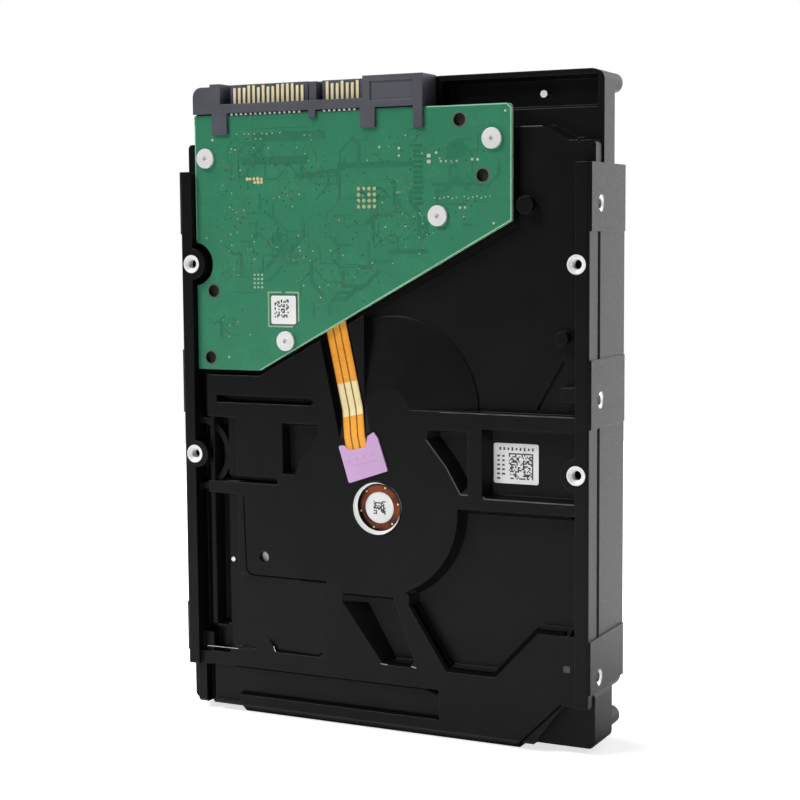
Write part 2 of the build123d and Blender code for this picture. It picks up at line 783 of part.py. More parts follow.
def ledge_corner():
    """Cut corner of the end ledge, from the riser down to the right shoulder."""
    top = drive_length + 1
    low = drive_length - riser_gap
    shoulder = side_end + shoulder_right
    edge = riser_stop + corner_reach
    right = half_width + 1
    lean = corner_slope
    mouth = polygon((riser_stop, low), (edge, shoulder), (right, shoulder), (right, top), (riser_stop, top))
    floor = polygon((riser_stop + lean, low + lean), (edge + lean, shoulder + lean), (right, shoulder + lean),
                    (right, top), (riser_stop + lean, top))
    return leaning(mouth, floor, right_field, end_ledge) + slab(mouth, 0, right_field)


def hole_cutters():
    """Mounting, cover-screw, board-screw and motor holes."""
    holes = [disc(side * face_hole_x, z, screw_hole_radius, -1, face_hole_deep)
             for side in (-1, 1) for z in face_hole_z]
    for side in (-1, 1):
        for z in side_hole_z:
            reach = half_width - side_hole_deep / 2
            holes.append(Pos(side * reach, level(side_hole_depth), z) * Rot(0, 90, 0)
                         * Cylinder(screw_hole_radius, side_hole_deep + 0.001))
    for x, z in cover_screws_at:
        holes.append(disc(x, z, cover_screw_shank, wall_height - cover_screw_deep, wall_height + 1))
    holes.append(disc(spindle_x, spindle_z, motor_bore, 0, well_floor + 1))
    return holes


def board_posts():
    """Posts of the cast base that carry the circuit board, with their tapped holes."""
    posts = None
    for x, z in board_screws_at:
        post = ring(x, z, board_post, board_screw_shank, board_back, board_floor + 0.2)
        posts = post if posts is None else posts + post
    return posts


def field_details():
    """Posts, curb, band swelling and block that stand up from the cast fields."""
    details = disc(band_bump_x, band_high, band_bump_radius, plateau, left_field + 0.5)
    for side, inset, z, radius in field_posts:
        details += disc(side * (rail_inner - inset), z, radius, right_field - post_rise, right_field + 0.5)
    inset, low, high = rail_block
    block = area(rail_inner - inset, rail_inner + 0.5, low, high)
    details += slab(block, right_field - post_rise, right_field + 0.5)
    curb = Circle(hole_curb_radius) - Circle(hole_curb_radius - hole_curb_wall)
    curb = Pos(-face_hole_x, face_hole_z[1]) * curb
    curb &= area(-rail_inner, 0, 0, drive_length)
    return details + slab(curb, plateau + shelf_deep, channel_depth + 0.3)


def make_base_casting():
    """Cast aluminium base with rails, ribs, motor seat, disc well and actuator bay."""
    base = cast_body()
    for cutter in left_cutters() + right_cutters():
        base -= cutter
    base += cone_solid()
    for cutter in end_cutters():
        base -= cutter
    base += board_posts()
    well = Pos(spindle_x, spindle_z) * Circle(well_radius)
    base -= slab(well, well_floor, wall_height + 1)
    base -= slab(cavity_outline(), bay_floor, wall_height + 1)
    base += field_details()
    for cutter in rail_cutters() + hole_cutters():
        base -= cutter
    for x, z, radius in ejector_pits:
        base -= disc(x, z, radius, 0, left_field + ejector_deep)
    for x, z in board_screws_at:
        base -= disc(x, z, board_screw_shank, 0, board_depth + board_screw_deep)
    return base


# ------------------------------------------------------------------ cover and seals
def cover_outline(grow=0.0):
    """Outline of the cover with its screw lands."""
    outline = cavity_outline(cover_lap + grow) & area(-rail_side + 1, rail_side - 1, foot_rise, drive_length)
    for x, z in cover_screws_at:
        outline += Pos(x, z) * Circle(screw_land + grow)
    return outline & area(-rail_side + 0.6 - grow, rail_side - 0.6 + grow, 0, drive_length - nose_gap)


def pan_outline():
    """Outline of the raised middle of the cover."""
    pan = disc_and_bay_outline(-pan_inset)
    for x, z in cover_screws_at:
        pan -= Pos(x, z) * Circle(cover_screw_radius + 1.4)
    return pan


def make_top_cover():
    """Pressed cover with a raised pan and a dimple for the pivot screw."""
    sheet_far = cover_flange + cover_thick
    cover = slab(cover_outline(), cover_flange, sheet_far)
    cover += slab(pan_outline(), cover_flange, cover_top)
    cover -= slab(offset(pan_outline(), -cover_thick), cover_flange - 1, cover_top - cover_thick)
    dimple = disc(pivot_x, pivot_z, dimple_radius, cover_flange, cover_top)
    cover += dimple
    cover -= disc(pivot_x, pivot_z, dimple_radius - cover_thick, sheet_far, cover_top + 1)
    hole = cover_screw_shank + cover_screw_clear
    for x, z in cover_screws_at:
        cover -= disc(x, z, hole, cover_flange - 1, sheet_far + 1)
    return cover - disc(pivot_x, pivot_z, hole, cover_flange - 1, sheet_far + 1)


def make_cover_gasket():
    """Seal pressed between the cover and the rim of the base."""
    limit = area(-rail_side, rail_side, foot_rise, drive_length)
    loop = (cavity_outline(gasket_gap + gasket_width) & limit) - cavity_outline(gasket_gap)
    for x, z in cover_screws_at:
        loop -= Pos(x, z) * Circle(cover_screw_shank + 2 * cover_screw_clear)
    return slab(loop, wall_height, cover_flange)


def make_cover_screws():
    """Screws round the cover and the one into the pivot."""
    seat = cover_flange + cover_thick
    length = seat - wall_height + cover_screw_deep - 0.6
    return [screw(x, z, cover_screw_radius, cover_screw_drive, cover_screw_head, cover_screw_shank,
                  seat, length, 1) for x, z in [*cover_screws_at, (pivot_x, pivot_z)]]


def make_cover_label():
    """Bare paper label on the raised pan."""
    sheet = rounded(-label_side, label_side, label_low, label_high, label_corner)
    sheet &= offset(pan_outline(), -cover_lap)
    return slab(sheet, cover_top, cover_top + label_thick)


# ------------------------------------------------------------------ spindle motor and discs
def spindle_ring(outer, inner, near, far):
    """Round tube on the spindle axis."""
    return ring(spindle_x, spindle_z, outer, inner, near, far)


def spindle_disc(radius, near, far):
    """Round solid on the spindle axis."""
    return disc(spindle_x, spindle_z, radius, near, far)


motor_face = plateau + motor_recess
sleeve_near = motor_face + 1.6
hub_low = stack_near - spacer_width * 0.35
hub_top = stack_far + 1.3
hub_top_near = hub_top - hub_top_thick
stator_near = hub_low + 1.2
sleeve_far = hub_top_near - 1.5
magnet_inner = stator_radius + air_gap
magnet_outer = magnet_inner + magnet_ring
hub_radius = platter_bore - hub_gap
hub_flange_radius = platter_bore + spacer_width


def make_motor_bracket():
    """Bright flanged tube of the motor, seated in the bore of the base."""
    tube = spindle_ring(motor_bore, bearing_sleeve_radius, motor_face, sleeve_far - 0.5)
    collar = spindle_ring(motor_bore, motor_bore - motor_collar, plateau - 0.1, motor_face)
    flange = spindle_ring(motor_flange_radius, motor_bore, well_floor, well_floor + motor_flange_thick)
    return tube + collar + flange


def make_thrust_seal_ring():
    """Copper-coloured ring round the end of the bearing."""
    return spindle_ring(bearing_sleeve_radius, thrust_plate_radius, motor_face - 0.1, sleeve_near)


def make_thrust_plate():
    """Disc that closes the end of the bearing."""
    return spindle_disc(thrust_plate_radius, motor_face, sleeve_near)


def make_spindle_code_label():
    """Round white label on the end of the motor."""
    return spindle_disc(thrust_plate_radius - 0.1, motor_face - label_thick, motor_face)


def make_bearing_sleeve():
    """Fluid bearing sleeve of the spindle."""
    return spindle_ring(bearing_sleeve_radius, spindle_shaft_radius + shaft_gap, sleeve_near, sleeve_far)


def make_stator_core():
    """Laminated stator with one shoe on each tooth."""
    core = Circle(stator_ring)
    for turn in range(stator_teeth):
        turned = Rot(0, 0, turn * 360 / stator_teeth)
        core += turned * area(0, stator_radius - 0.4, -tooth_width / 2, tooth_width / 2)
        shoe = area(stator_radius - 0.7, stator_radius + 1, -shoe_width / 2, shoe_width / 2)
        core += turned * shoe & Circle(stator_radius)
    core -= Circle(motor_bore)
    return slab(Pos(spindle_x, spindle_z) * core, stator_near, stator_near + stator_thick)


def make_stator_coils():
    """One winding round each tooth of the stator."""
    coils = []
    inner = stator_ring + 0.1
    outer = stator_radius - 0.8
    for turn in range(stator_teeth):
        place = Pos(spindle_x, spindle_z) * Rot(0, 0, turn * 360 / stator_teeth)
        wide = tooth_width / 2 + coil_build
        wound = place * area(inner, outer, -wide, wide)
        tooth = place * area(inner - 1, outer + 1, -tooth_width / 2, tooth_width / 2)
        coil = slab(wound, stator_near - coil_build, stator_near + stator_thick + coil_build)
        coils.append(coil - slab(tooth, stator_near, stator_near + stator_thick))
    return coils


def make_spindle_shaft():
    """Shaft that turns in the bearing sleeve."""
    return spindle_disc(spindle_shaft_radius, sleeve_near + 0.2, hub_top - 0.4)


def make_rotor_hub():
    """Hub cup that carries the platters round the stator."""
    hub = spindle_ring(hub_radius, spindle_shaft_radius, hub_top_near, hub_top)
    hub += spindle_ring(hub_radius, magnet_outer, hub_low, hub_top_near)
    hub += spindle_ring(hub_flange_radius, magnet_outer, hub_low, stack_near)
    for turn in range(clamp_screw_count):
        x, z = clamp_screw_place(turn)
        hub -= disc(x, z, clamp_screw_shank, hub_top_near - 1, hub_top + 1)
    return hub


def clamp_screw_place(turn):
    """Place of one clamp screw round the spindle."""
    angle = radians(turn * 360 / clamp_screw_count + 30)
    return spindle_x + clamp_screw_reach * cos(angle), spindle_z + clamp_screw_reach * sin(angle)


def make_rotor_magnet():
    """Magnet ring inside the hub."""
    return spindle_ring(magnet_outer, magnet_inner, hub_low + 0.4, hub_top_near - 0.4)


def make_platter(depth):
    """One platter, at the depth of its middle."""
    return spindle_ring(platter_radius, platter_bore, depth - platter_thick / 2, depth + platter_thick / 2)


def make_platter_spacers():
    """Rings between the platters."""
    return [spindle_ring(hub_flange_radius, platter_bore, low + platter_thick / 2, high - platter_thick / 2)
            for low, high in zip(platter_depths, platter_depths[1:])]


def make_disc_clamp():
    """Sprung plate that holds the stack down on the hub."""
    clamp = spindle_ring(hub_flange_radius, spindle_shaft_radius + 1, hub_top, hub_top + clamp_thick)
    clamp += spindle_ring(hub_flange_radius, hub_flange_radius - clamp_land, stack_far, hub_top)
    for turn in range(clamp_screw_count):
        x, z = clamp_screw_place(turn)
        clamp -= disc(x, z, clamp_screw_shank + 0.1, hub_top - 1, hub_top + clamp_thick + 1)
    return clamp


def make_clamp_screws():
    """Screws of the disc clamp."""
    seat = hub_top + clamp_thick
    return [screw(*clamp_screw_place(turn), clamp_screw_radius, clamp_screw_drive, clamp_screw_head,
                  clamp_screw_shank, seat, clamp_thick + hub_top_thick - 0.4, 1)
            for turn in range(clamp_screw_count)]


# ------------------------------------------------------------------ head actuator
def make_pivot_shaft():
    """Fixed shaft of the actuator, tapped for the cover screw."""
    shaft = disc(pivot_x, pivot_z, pivot_shaft_radius, bay_floor, cover_flange)
    return shaft - disc(pivot_x, pivot_z, cover_screw_shank, wall_height - cover_screw_deep, cover_flange + 1)


def make_pivot_bearings():
    """Two bearings between the shaft and the sleeve."""
    outer = sleeve_radius - sleeve_wall - bearing_gap
    return [ring(pivot_x, pivot_z, outer, pivot_shaft_radius, near, near + bearing_width)
            for near in (comb_near + 0.6, comb_far - 0.6 - bearing_width)]


def make_pivot_sleeve():
    """Sleeve that turns on the bearings, held in the comb."""
    return ring(pivot_x, pivot_z, sleeve_radius, sleeve_radius - sleeve_wall, comb_near + 0.2, comb_far - 0.2)


def make_actuator_comb():
    """Comb of arms between the platters, with the web that holds the coil."""
    comb = ring(pivot_x, pivot_z, comb_radius, sleeve_radius, comb_near, comb_far)
    arm = polygon((0, -arm_root), (arm_length, -arm_tip), (arm_length, arm_tip), (0, arm_root))
    window = polygon((12, -2.6), (22, -1.2), (22, 1.2), (12, 2.6))
    arm = arm - window - Circle(sleeve_radius)
    for depth in arm_depths:
        comb += slab(at_pivot(arm, park_angle), depth - arm_thick / 2, depth + arm_thick / 2)
    web = sector(sleeve_radius, coil_inner - frame_wall, 180 - frame_half_angle, 180 + frame_half_angle)
    return comb + slab(at_pivot(web, park_angle), coil_near, coil_far)


def coil_outline(grow=0.0):
    """Outer outline of the coil, drawn with the arms along +X."""
    turn = degrees(grow / coil_outer)
    half = coil_half_angle + turn
    return sector(coil_inner - grow, coil_outer + grow, 180 - half, 180 + half)


def make_voice_coil():
    """Flat coil of the actuator."""
    window = degrees(coil_band / coil_outer)
    inside = sector(coil_inner + coil_band, coil_outer - coil_band, 180 - coil_half_angle + window * 1.3,
                    180 + coil_half_angle - window * 1.3)
    return slab(at_pivot(coil_outline() - inside, park_angle), coil_near, coil_far)


def make_coil_frame():
    """Moulded frame round the coil."""
    frame = sector(coil_inner - frame_wall, frame_outer, 180 - frame_half_angle, 180 + frame_half_angle)
    return slab(at_pivot(frame - coil_outline(), park_angle), coil_near + 0.2, coil_far - 0.2)


def head_places():
    """Near depth of each suspension, and the side of its arm that it lies on."""
    places = []
    for index, depth in enumerate(arm_depths):
        if index > 0:
            places.append((depth - arm_thick / 2 - suspension_thick, -1))
        if index < platter_count:
            places.append((depth + arm_thick / 2, 1))
    return places


def make_head_suspensions():
    """Sprung load beams on the arms, with their lift tabs."""
    beam = polygon((arm_length - suspension_lap, -2.3), (head_reach + 1.0, -0.9), (head_reach + 1.0, 0.9),
                   (arm_length - suspension_lap, 2.3))
    beam += area(head_reach + 0.9, head_reach + suspension_tab, -0.4, 0.4)
    return [slab(at_pivot(beam, park_angle), near, near + suspension_thick) for near, _ in head_places()]


def make_head_sliders():
    """Sliders with the heads, under the tips of the suspensions."""
    body = area(head_reach - slider_long / 2, head_reach + slider_long / 2, -slider_wide / 2, slider_wide / 2)
    sliders = []
    for near, side in head_places():
        start = near + suspension_thick if side > 0 else near - slider_thick
        sliders.append(slab(at_pivot(body, park_angle), start, start + slider_thick))
    return sliders


def make_preamp_flex():
    """Flex board with the head amplifier, wrapped on the comb."""
    band = sector(comb_radius, comb_radius + preamp_thick, preamp_start, preamp_stop)
    return slab(at_pivot(band, park_angle), comb_near + 0.6, comb_far - 0.6)


def make_flex_loop():
    """Loop of flat flex from the comb to its bracket, round the pivot."""
    loop = sector(flex_loop_reach - flex_thick, flex_loop_reach, bracket_start + 2, loop_stop)
    half = flex_loop_width / 2
    return slab(Pos(pivot_x, pivot_z) * loop, stack_depth - half, stack_depth + half)


def make_flex_bracket():
    """Bracket that holds the fixed end of the flex."""
    block = sector(flex_loop_reach, flex_loop_reach + bracket_thick, bracket_start, bracket_stop)
    return slab(Pos(pivot_x, pivot_z) * block, bay_floor, stack_depth + flex_loop_width / 2 + 1)


def make_flex_header():
    """Connector block of the flex, on the floor of the bay."""
    x, z = polar(flex_loop_reach + bracket_thick + header_wide / 2 + header_gap, bracket_stop)
    return slab(area(x - header_wide / 2, x + header_wide / 2, z - header_tall / 2, z + header_tall / 2),
                bay_floor, bay_floor + header_deep)


# ------------------------------------------------------------------ voice coil motor
yoke_start = inner_angle - 180 - frame_half_angle - yoke_overhang
yoke_stop = park_angle - 180 + frame_half_angle + yoke_overhang
front_standoffs = [polar(standoff_reach, inner_angle - 180 - frame_half_angle - stop_clear),
                   polar(standoff_reach, park_angle - 180 + frame_half_angle + stop_clear)]
standoff_places = [*front_standoffs, polar(rear_standoff_reach, (yoke_start + yoke_stop) / 2)]


def yoke_outline():
    """Outline of both yoke plates."""
    plate = Pos(pivot_x, pivot_z) * sector(coil_inner - 0.5, frame_outer + yoke_edge, yoke_start, yoke_stop)
    for x, z in standoff_places:
        plate += Pos(x, z) * Circle(standoff_radius + 1.8)
    return plate


def make_yoke(near):
    """One steel yoke plate with holes for the standoffs."""
    plate = slab(yoke_outline(), near, near + yoke_thick)
    for x, z in standoff_places:
        plate -= disc(x, z, standoff_radius, near - 1, near + yoke_thick + 1)
    return plate


def make_coil_magnets():
    """Magnets on the inner faces of both yokes."""
    face = Pos(pivot_x, pivot_z) * sector(coil_inner + 0.5, coil_outer, yoke_start + yoke_overhang * 1.2,
                                          yoke_stop - yoke_overhang * 1.2)
    return [slab(face, near, near + magnet_thick) for near in (lower_magnet_near, upper_magnet_near)]


def make_yoke_standoffs():
    """Stepped posts between the yokes."""
    posts = []
    for x, z in standoff_places:
        post = disc(x, z, standoff_radius, lower_yoke_near, upper_yoke_near + yoke_thick)
        posts.append(post)
    return posts


def make_crash_stops():
    """Rubber sleeves that stop the coil frame at both ends of its travel."""
    return [ring(x, z, standoff_radius + stop_thick, standoff_radius, coil_near - 0.4, coil_far + 0.4)
            for x, z in front_standoffs]


def make_load_ramp():
    """Ramp beside the discs that the lift tabs park on."""
    tab = head_reach + suspension_tab
    foot = ramp_outline() - Pos(spindle_x, spindle_z) * Circle(platter_radius + ramp_gap)
    ramp = slab(foot, bay_floor, comb_far)
    finger = Pos(pivot_x, pivot_z) * sector(head_reach + 1.1, tab + 0.4, park_angle - 5, park_angle + 4)
    finger &= area(0, ramp_bay_right - ramp_clear, 0, drive_length)
    for depth in platter_depths:
        for side in (-1, 1):
            middle = depth + side * platter_pitch / 2
            ramp += slab(finger, middle - ramp_finger / 2, middle + ramp_finger / 2)
    return ramp


# ------------------------------------------------------------------ filters
def make_recirculation_filter():
    """Fibre pad in the corner beside the discs."""
    place = Pos(filter_pad_gap - bay_half, filter_pad_z)
    pad = place * Rot(0, 0, 45) * RectangleRounded(filter_pad_long, filter_pad_wide, 0.8)
    return slab(pad, bay_floor, stack_far)


def make_breather_filter():
    """Carbon filter box over the breather hole."""
    left = breather_gap - bay_half
    top = bay_top - breather_top_gap
    box = rounded(left, left + breather_side, top - breather_side, top, 2.0)
    return slab(box, bay_floor, bay_floor + breather_deep)


# ------------------------------------------------------------------ circuit board
def board_outline(shrink=0.0):
    """Outline of the circuit board, with its notch round the mounting hole."""
    blank = polygon((board_left, board_bottom), (board_knee_x, board_bottom), (board_right, board_knee_z),
                    (board_right, board_top), (board_left, board_top))
    top_right = blank.vertices().sort_by(Axis.X)[-2:].sort_by(Axis.Y)[-1]
    blank = fillet(top_right, board_corner)
    if shrink:
        blank = offset(blank, -shrink)
    return blank - Pos(-face_hole_x, face_hole_z[0]) * Circle(board_notch + shrink)


def make_circuit_board():
    """Circuit board with its screw holes and plated rings."""
    board = slab(board_outline(), board_depth, board_back)
    for x, z in board_screws_at:
        board -= disc(x, z, board_screw_shank, board_depth - 1, board_back + 1)
    for x, z in board_rings:
        board -= disc(x, z, board_hole, board_depth - 1, board_back + 1)
    return board


def make_board_screws():
    """Flat screws that hold the board to its posts."""
    return [screw(x, z, board_screw_head_radius, board_screw_drive, board_screw_head, board_screw_shank,
                  board_depth, board_screw_deep) for x, z in board_screws_at]


def make_board_foam():
    """Foam sheet between the chips and the base."""
    sheet = area(board_left + 7.0, board_right - 5.4, board_bottom + 15.3, board_top - 4.3)
    sheet &= board_outline(3.0)
    for x, z in [*board_screws_at, *board_rings]:
        sheet -= Pos(x, z) * Circle(board_post + 1.0)
    sheet -= area(flex_head_x - 9.0, flex_head_x + 9.0, board_bottom - 1.2, board_bottom + 21.8)
    return slab(sheet, board_floor - foam_thick, board_floor)


def chip(across, below, wide, tall, thick=chip_thick):
    """Flat chip on the hidden side of the board."""
    x, z = on_board(across, below)
    outline = area(x - wide / 2, x + wide / 2, z - tall / 2, z + tall / 2)
    return slab(outline, board_back, board_back + thick)


def make_board_components():
    """Small capacitors, resistors, coils and the crystal on the hidden side."""
    rows = ((-14.7, 9.3, 2.4, 0, 5), (-9.2, 33.8, 0, -2.0, 8), (-31.2, 31.8, 0, -2.2, 4),
            (-28.7, 44.8, 2.4, 0, 3), (14.9, 29.3, 0, -2.0, 3))
    small = [chip(across + turn * step_x, below + turn * step_z, 1.6, 0.8, part_thick)
             for across, below, step_x, step_z, count in rows for turn in range(count)]
    coils = [chip(across, below, 3.8, 3.8) for across, below in ((-28.7, 18.8), (-16.2, 26.3), (-16.2, 31.2))]
    crystal = chip(11.8, 7.6, 3.2, 2.5, part_thick)
    return small + coils + [crystal]


# ------------------------------------------------------------------ connector
housing_low = drive_length - housing_low_gap
mouth_low = drive_length - housing_mouth
board_edge = board_top + 0.3
tongue_far = contact_depth + tongue_thick
power_end = power_start + (power_contacts - 1) * contact_pitch
signal_end = signal_start + (signal_contacts - 1) * contact_pitch


def make_connector_housing():
    """Moulded housing of the power and data connector, clipped over the edge of the board."""
    top = drive_length - ledge_gap
    body = slab(area(housing_left, housing_right, board_edge, mouth_low), housing_near, housing_far)
    body += slab(area(housing_left, housing_right, housing_low, board_edge), board_back, housing_far)
    body += slab(area(housing_left, housing_right, mouth_low, top), housing_far - 1.0, housing_far)
    tongues = ((power_start - 1.3, power_end + 1.4), (signal_start - 1.4, signal_end + 1.2))
    for left, right in tongues:
        body += slab(area(left, right, mouth_low, top - 0.2), contact_depth, tongue_far)
        body += slab(area(left, left + 0.6, mouth_low, top - 0.2), contact_depth, tongue_far + 1.0)
    left_block = area(housing_left, housing_left + 5.4, mouth_low, top - 0.6)
    left_block += area(housing_left + 4.6, power_start - 2.8, mouth_low, top)
    body += slab(left_block, housing_near, housing_far)
    between = area(power_end + 2.4, signal_start - 2.2, mouth_low, top - 0.4)
    body += slab(between, housing_near + 0.8, housing_far)
    right_block = area(signal_end + 2.2, housing_right, mouth_low, drive_length)
    body += slab(right_block, housing_near, housing_far)
    round_x = housing_left + housing_round
    round_z = top - 0.6 - housing_round
    corner = area(housing_left, round_x, round_z, drive_length) - Pos(round_x, round_z) * Circle(housing_round)
    body -= slab(corner, housing_near - 1, housing_far + 1)
    panel = area(signal_end + 4.0, housing_right - 2.4, mouth_low - 0.6, drive_length - 1.3)
    body -= slab(panel, housing_near - 1, housing_near + 0.25)
    legs = ((-41.9, -37.9, 11.7), (-16.5, -14.7, 8.6), (-3.5, 0.2, 11.3), (9.6, housing_right, 11.7))
    for left, right, drop in legs:
        body += slab(area(left, right, drive_length - drop, board_edge), housing_near, board_depth)
    return body


def make_contacts(start, count):
    """Row of gold contacts on the tongue, with their soldered tails on the board."""
    pieces = []
    for turn in range(count):
        x = start + turn * contact_pitch
        blade = area(x - contact_width / 2, x + contact_width / 2, mouth_low, mouth_low + contact_length)
        half = contact_width / 4
        tail = area(x - half, x + half, board_edge - contact_tail, board_edge)
        pieces.append(slab(blade, contact_depth - contact_thick, contact_depth))
        pieces.append(slab(tail, board_depth - contact_thick, board_depth))
    return pieces


# ------------------------------------------------------------------ motor flex and labels
def make_motor_flex():
    """Flat flex from the spindle motor to the circuit board."""
    _, _, length = flex_frame()
    top = [(-4.0, plateau - flex_thick), (3.0, plateau - flex_thick), (9.0, board_back),
           (length + flex_tuck, board_back)]
    bottom = [(reach, depth + flex_thick) for reach, depth in reversed(top)]
    return along_flex(top + bottom, flex_width)


def make_flex_patch():
    """Pad over the joint between the flex and the motor windings."""
    pad = polygon((-9.5, 64.9), (-8.1, 65.0), (-6.6, 64.0), (-2.6, 64.9), (-2.1, 67.4), (-0.6, 68.4),
                  (0.5, 67.0), (2.9, 59.8), (-6.9, 56.5))
    pad = fillet(pad.vertices(), 0.35)
    return slab(pad, plateau - flex_thick - patch_thick, plateau) - make_motor_flex()


def make_board_code_label():
    """White label on the circuit board."""
    x, z = board_code_label_at
    return slab(rounded(x - 3.25, x + 3.25, z - 3.25, z + 3.25, 0.5), board_depth - label_thick, board_depth)


def make_base_code_label():
    """White label in the pocket of the base."""
    x, z = base_code_label_at
    return slab(rounded(x - 5.25, x + 5.25, z - 4.4, z + 4.4, 0.5), right_field - label_thick, right_field)


# ------------------------------------------------------------------ export
def build_nodes():
    """Every node of the drive by name."""
    nodes = {
        "base_casting": make_base_casting(),
        "top_cover": make_top_cover(),
        "cover_gasket": make_cover_gasket(),
        "cover_screws": make_cover_screws(),
        "cover_label": make_cover_label(),
        "motor_bracket": make_motor_bracket(),
        "thrust_seal_ring": make_thrust_seal_ring(),
        "thrust_plate": make_thrust_plate(),
        "spindle_code_label": make_spindle_code_label(),
        "bearing_sleeve": make_bearing_sleeve(),
        "stator_core": make_stator_core(),
        "stator_coils": make_stator_coils(),
        "spindle_shaft": make_spindle_shaft(),
        "rotor_hub": make_rotor_hub(),
        "rotor_magnet": make_rotor_magnet(),
        "platter_spacers": make_platter_spacers(),
        "disc_clamp": make_disc_clamp(),
        "clamp_screws": make_clamp_screws(),
        "pivot_shaft": make_pivot_shaft(),
        "pivot_bearings": make_pivot_bearings(),
        "pivot_sleeve": make_pivot_sleeve(),
        "actuator_comb": make_actuator_comb(),
        "voice_coil": make_voice_coil(),
        "coil_frame": make_coil_frame(),
        "head_suspensions": make_head_suspensions(),
        "head_sliders": make_head_sliders(),
        "preamp_flex": make_preamp_flex(),
        "flex_loop": make_flex_loop(),
        "flex_bracket": make_flex_bracket(),
        "flex_header": make_flex_header(),
        "lower_yoke": make_yoke(lower_yoke_near),
        "upper_yoke": make_yoke(upper_yoke_near),
        "coil_magnets": make_coil_magnets(),
        "yoke_standoffs": make_yoke_standoffs(),
        "crash_stops": make_crash_stops(),
        "load_ramp": make_load_ramp(),
        "recirculation_filter": make_recirculation_filter(),
        "breather_filter": make_breather_filter(),
        "circuit_board": make_circuit_board(),
        "board_screws": make_board_screws(),
        "board_foam": make_board_foam(),
        "controller_chip": chip(4.8, 19.3, 13.0, 13.0),
        "memory_chip": chip(22.8, 13.8, 8.0, 10.5),
        "motor_driver_chip": chip(-23.2, 37.8, 9.0, 9.0),
        "flash_chip": chip(-23.2, 13.3, 5.0, 6.0),
        "board_components": make_board_components(),
        "connector_housing": make_connector_housing(),
        "power_contacts": make_contacts(power_start, power_contacts),
        "signal_contacts": make_contacts(signal_start, signal_contacts),
        "motor_flex": make_motor_flex(),
        "flex_patch": make_flex_patch(),
        "board_code_label": make_board_code_label(),
        "base_code_label": make_base_code_label(),
    }
    for index, depth in enumerate(platter_depths):
        nodes[f"platter_{index + 1}"] = make_platter(depth)
    return nodes


os.makedirs("parts", exist_ok=True)
for name, shape in build_nodes().items():
    export_step(Compound(children=shape) if isinstance(shape, list) else shape, f"parts/{name}.step")
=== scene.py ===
"""Looks of a 3.5 inch hard disk drive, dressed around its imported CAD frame.

The drive stands on the end away from its connector. +Z runs to the connector end, -Y is the
mounting face with the circuit board, and +X is to the right when that face is looked at.
Sizes in the classes are millimetres unless they say otherwise, and the meshes are metres.
Under Attributes a class explains the fields that their names don't.
"""

import json
import logging
import math
import random
from collections.abc import Sequence
from dataclasses import dataclass
from enum import Enum

import bmesh
import bpy
from mathutils import Matrix, Vector

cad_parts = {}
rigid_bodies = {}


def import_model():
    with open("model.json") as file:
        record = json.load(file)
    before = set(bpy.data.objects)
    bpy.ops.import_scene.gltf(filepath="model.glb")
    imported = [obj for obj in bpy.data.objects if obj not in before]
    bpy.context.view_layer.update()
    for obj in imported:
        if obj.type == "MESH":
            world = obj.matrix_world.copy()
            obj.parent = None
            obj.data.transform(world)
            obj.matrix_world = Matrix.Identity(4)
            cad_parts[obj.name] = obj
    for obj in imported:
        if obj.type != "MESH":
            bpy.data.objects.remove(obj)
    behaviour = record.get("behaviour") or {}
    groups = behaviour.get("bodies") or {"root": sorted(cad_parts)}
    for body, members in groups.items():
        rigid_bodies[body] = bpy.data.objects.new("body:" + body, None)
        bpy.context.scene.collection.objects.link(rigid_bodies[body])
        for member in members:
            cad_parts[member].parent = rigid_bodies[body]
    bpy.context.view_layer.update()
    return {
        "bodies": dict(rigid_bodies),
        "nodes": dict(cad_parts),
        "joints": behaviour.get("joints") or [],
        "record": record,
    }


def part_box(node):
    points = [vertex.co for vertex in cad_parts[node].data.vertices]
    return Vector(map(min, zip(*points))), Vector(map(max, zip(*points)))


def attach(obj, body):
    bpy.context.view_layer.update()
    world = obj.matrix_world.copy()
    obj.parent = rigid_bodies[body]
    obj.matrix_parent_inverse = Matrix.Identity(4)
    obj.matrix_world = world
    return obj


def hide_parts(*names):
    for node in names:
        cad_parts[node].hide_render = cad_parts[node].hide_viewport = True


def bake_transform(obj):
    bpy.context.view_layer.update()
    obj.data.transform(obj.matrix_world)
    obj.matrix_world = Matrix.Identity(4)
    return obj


LOG = logging.getLogger("hard_disk_drive")

Color = tuple[float, float, float]
Point = tuple[float, float]
Rect = tuple[float, float, float, float]
Tree = bpy.types.NodeTree
Node = bpy.types.Node
Socket = bpy.types.NodeSocket
Material = bpy.types.Material
Fed = float | Sequence[float] | Socket

MM = 0.001
SKIN = 0.02                     # how far a printed or plated mark stands off its face
HAIR = 0.01                     # gap between a lining and the wall that it lines
SPINDLE: Point = (0.0, 51.2)    # X and Z of the spindle's axis


class Body(str, Enum):
    """Rigid bodies that the pieces of detail ride on."""

    BASE = "base"
    ACTUATOR = "actuator"


class Pattern(Enum):
    """How the grain of a finish runs."""

    EVEN = "even"
    BRUSHED = "brushed"
    TURNED = "turned"


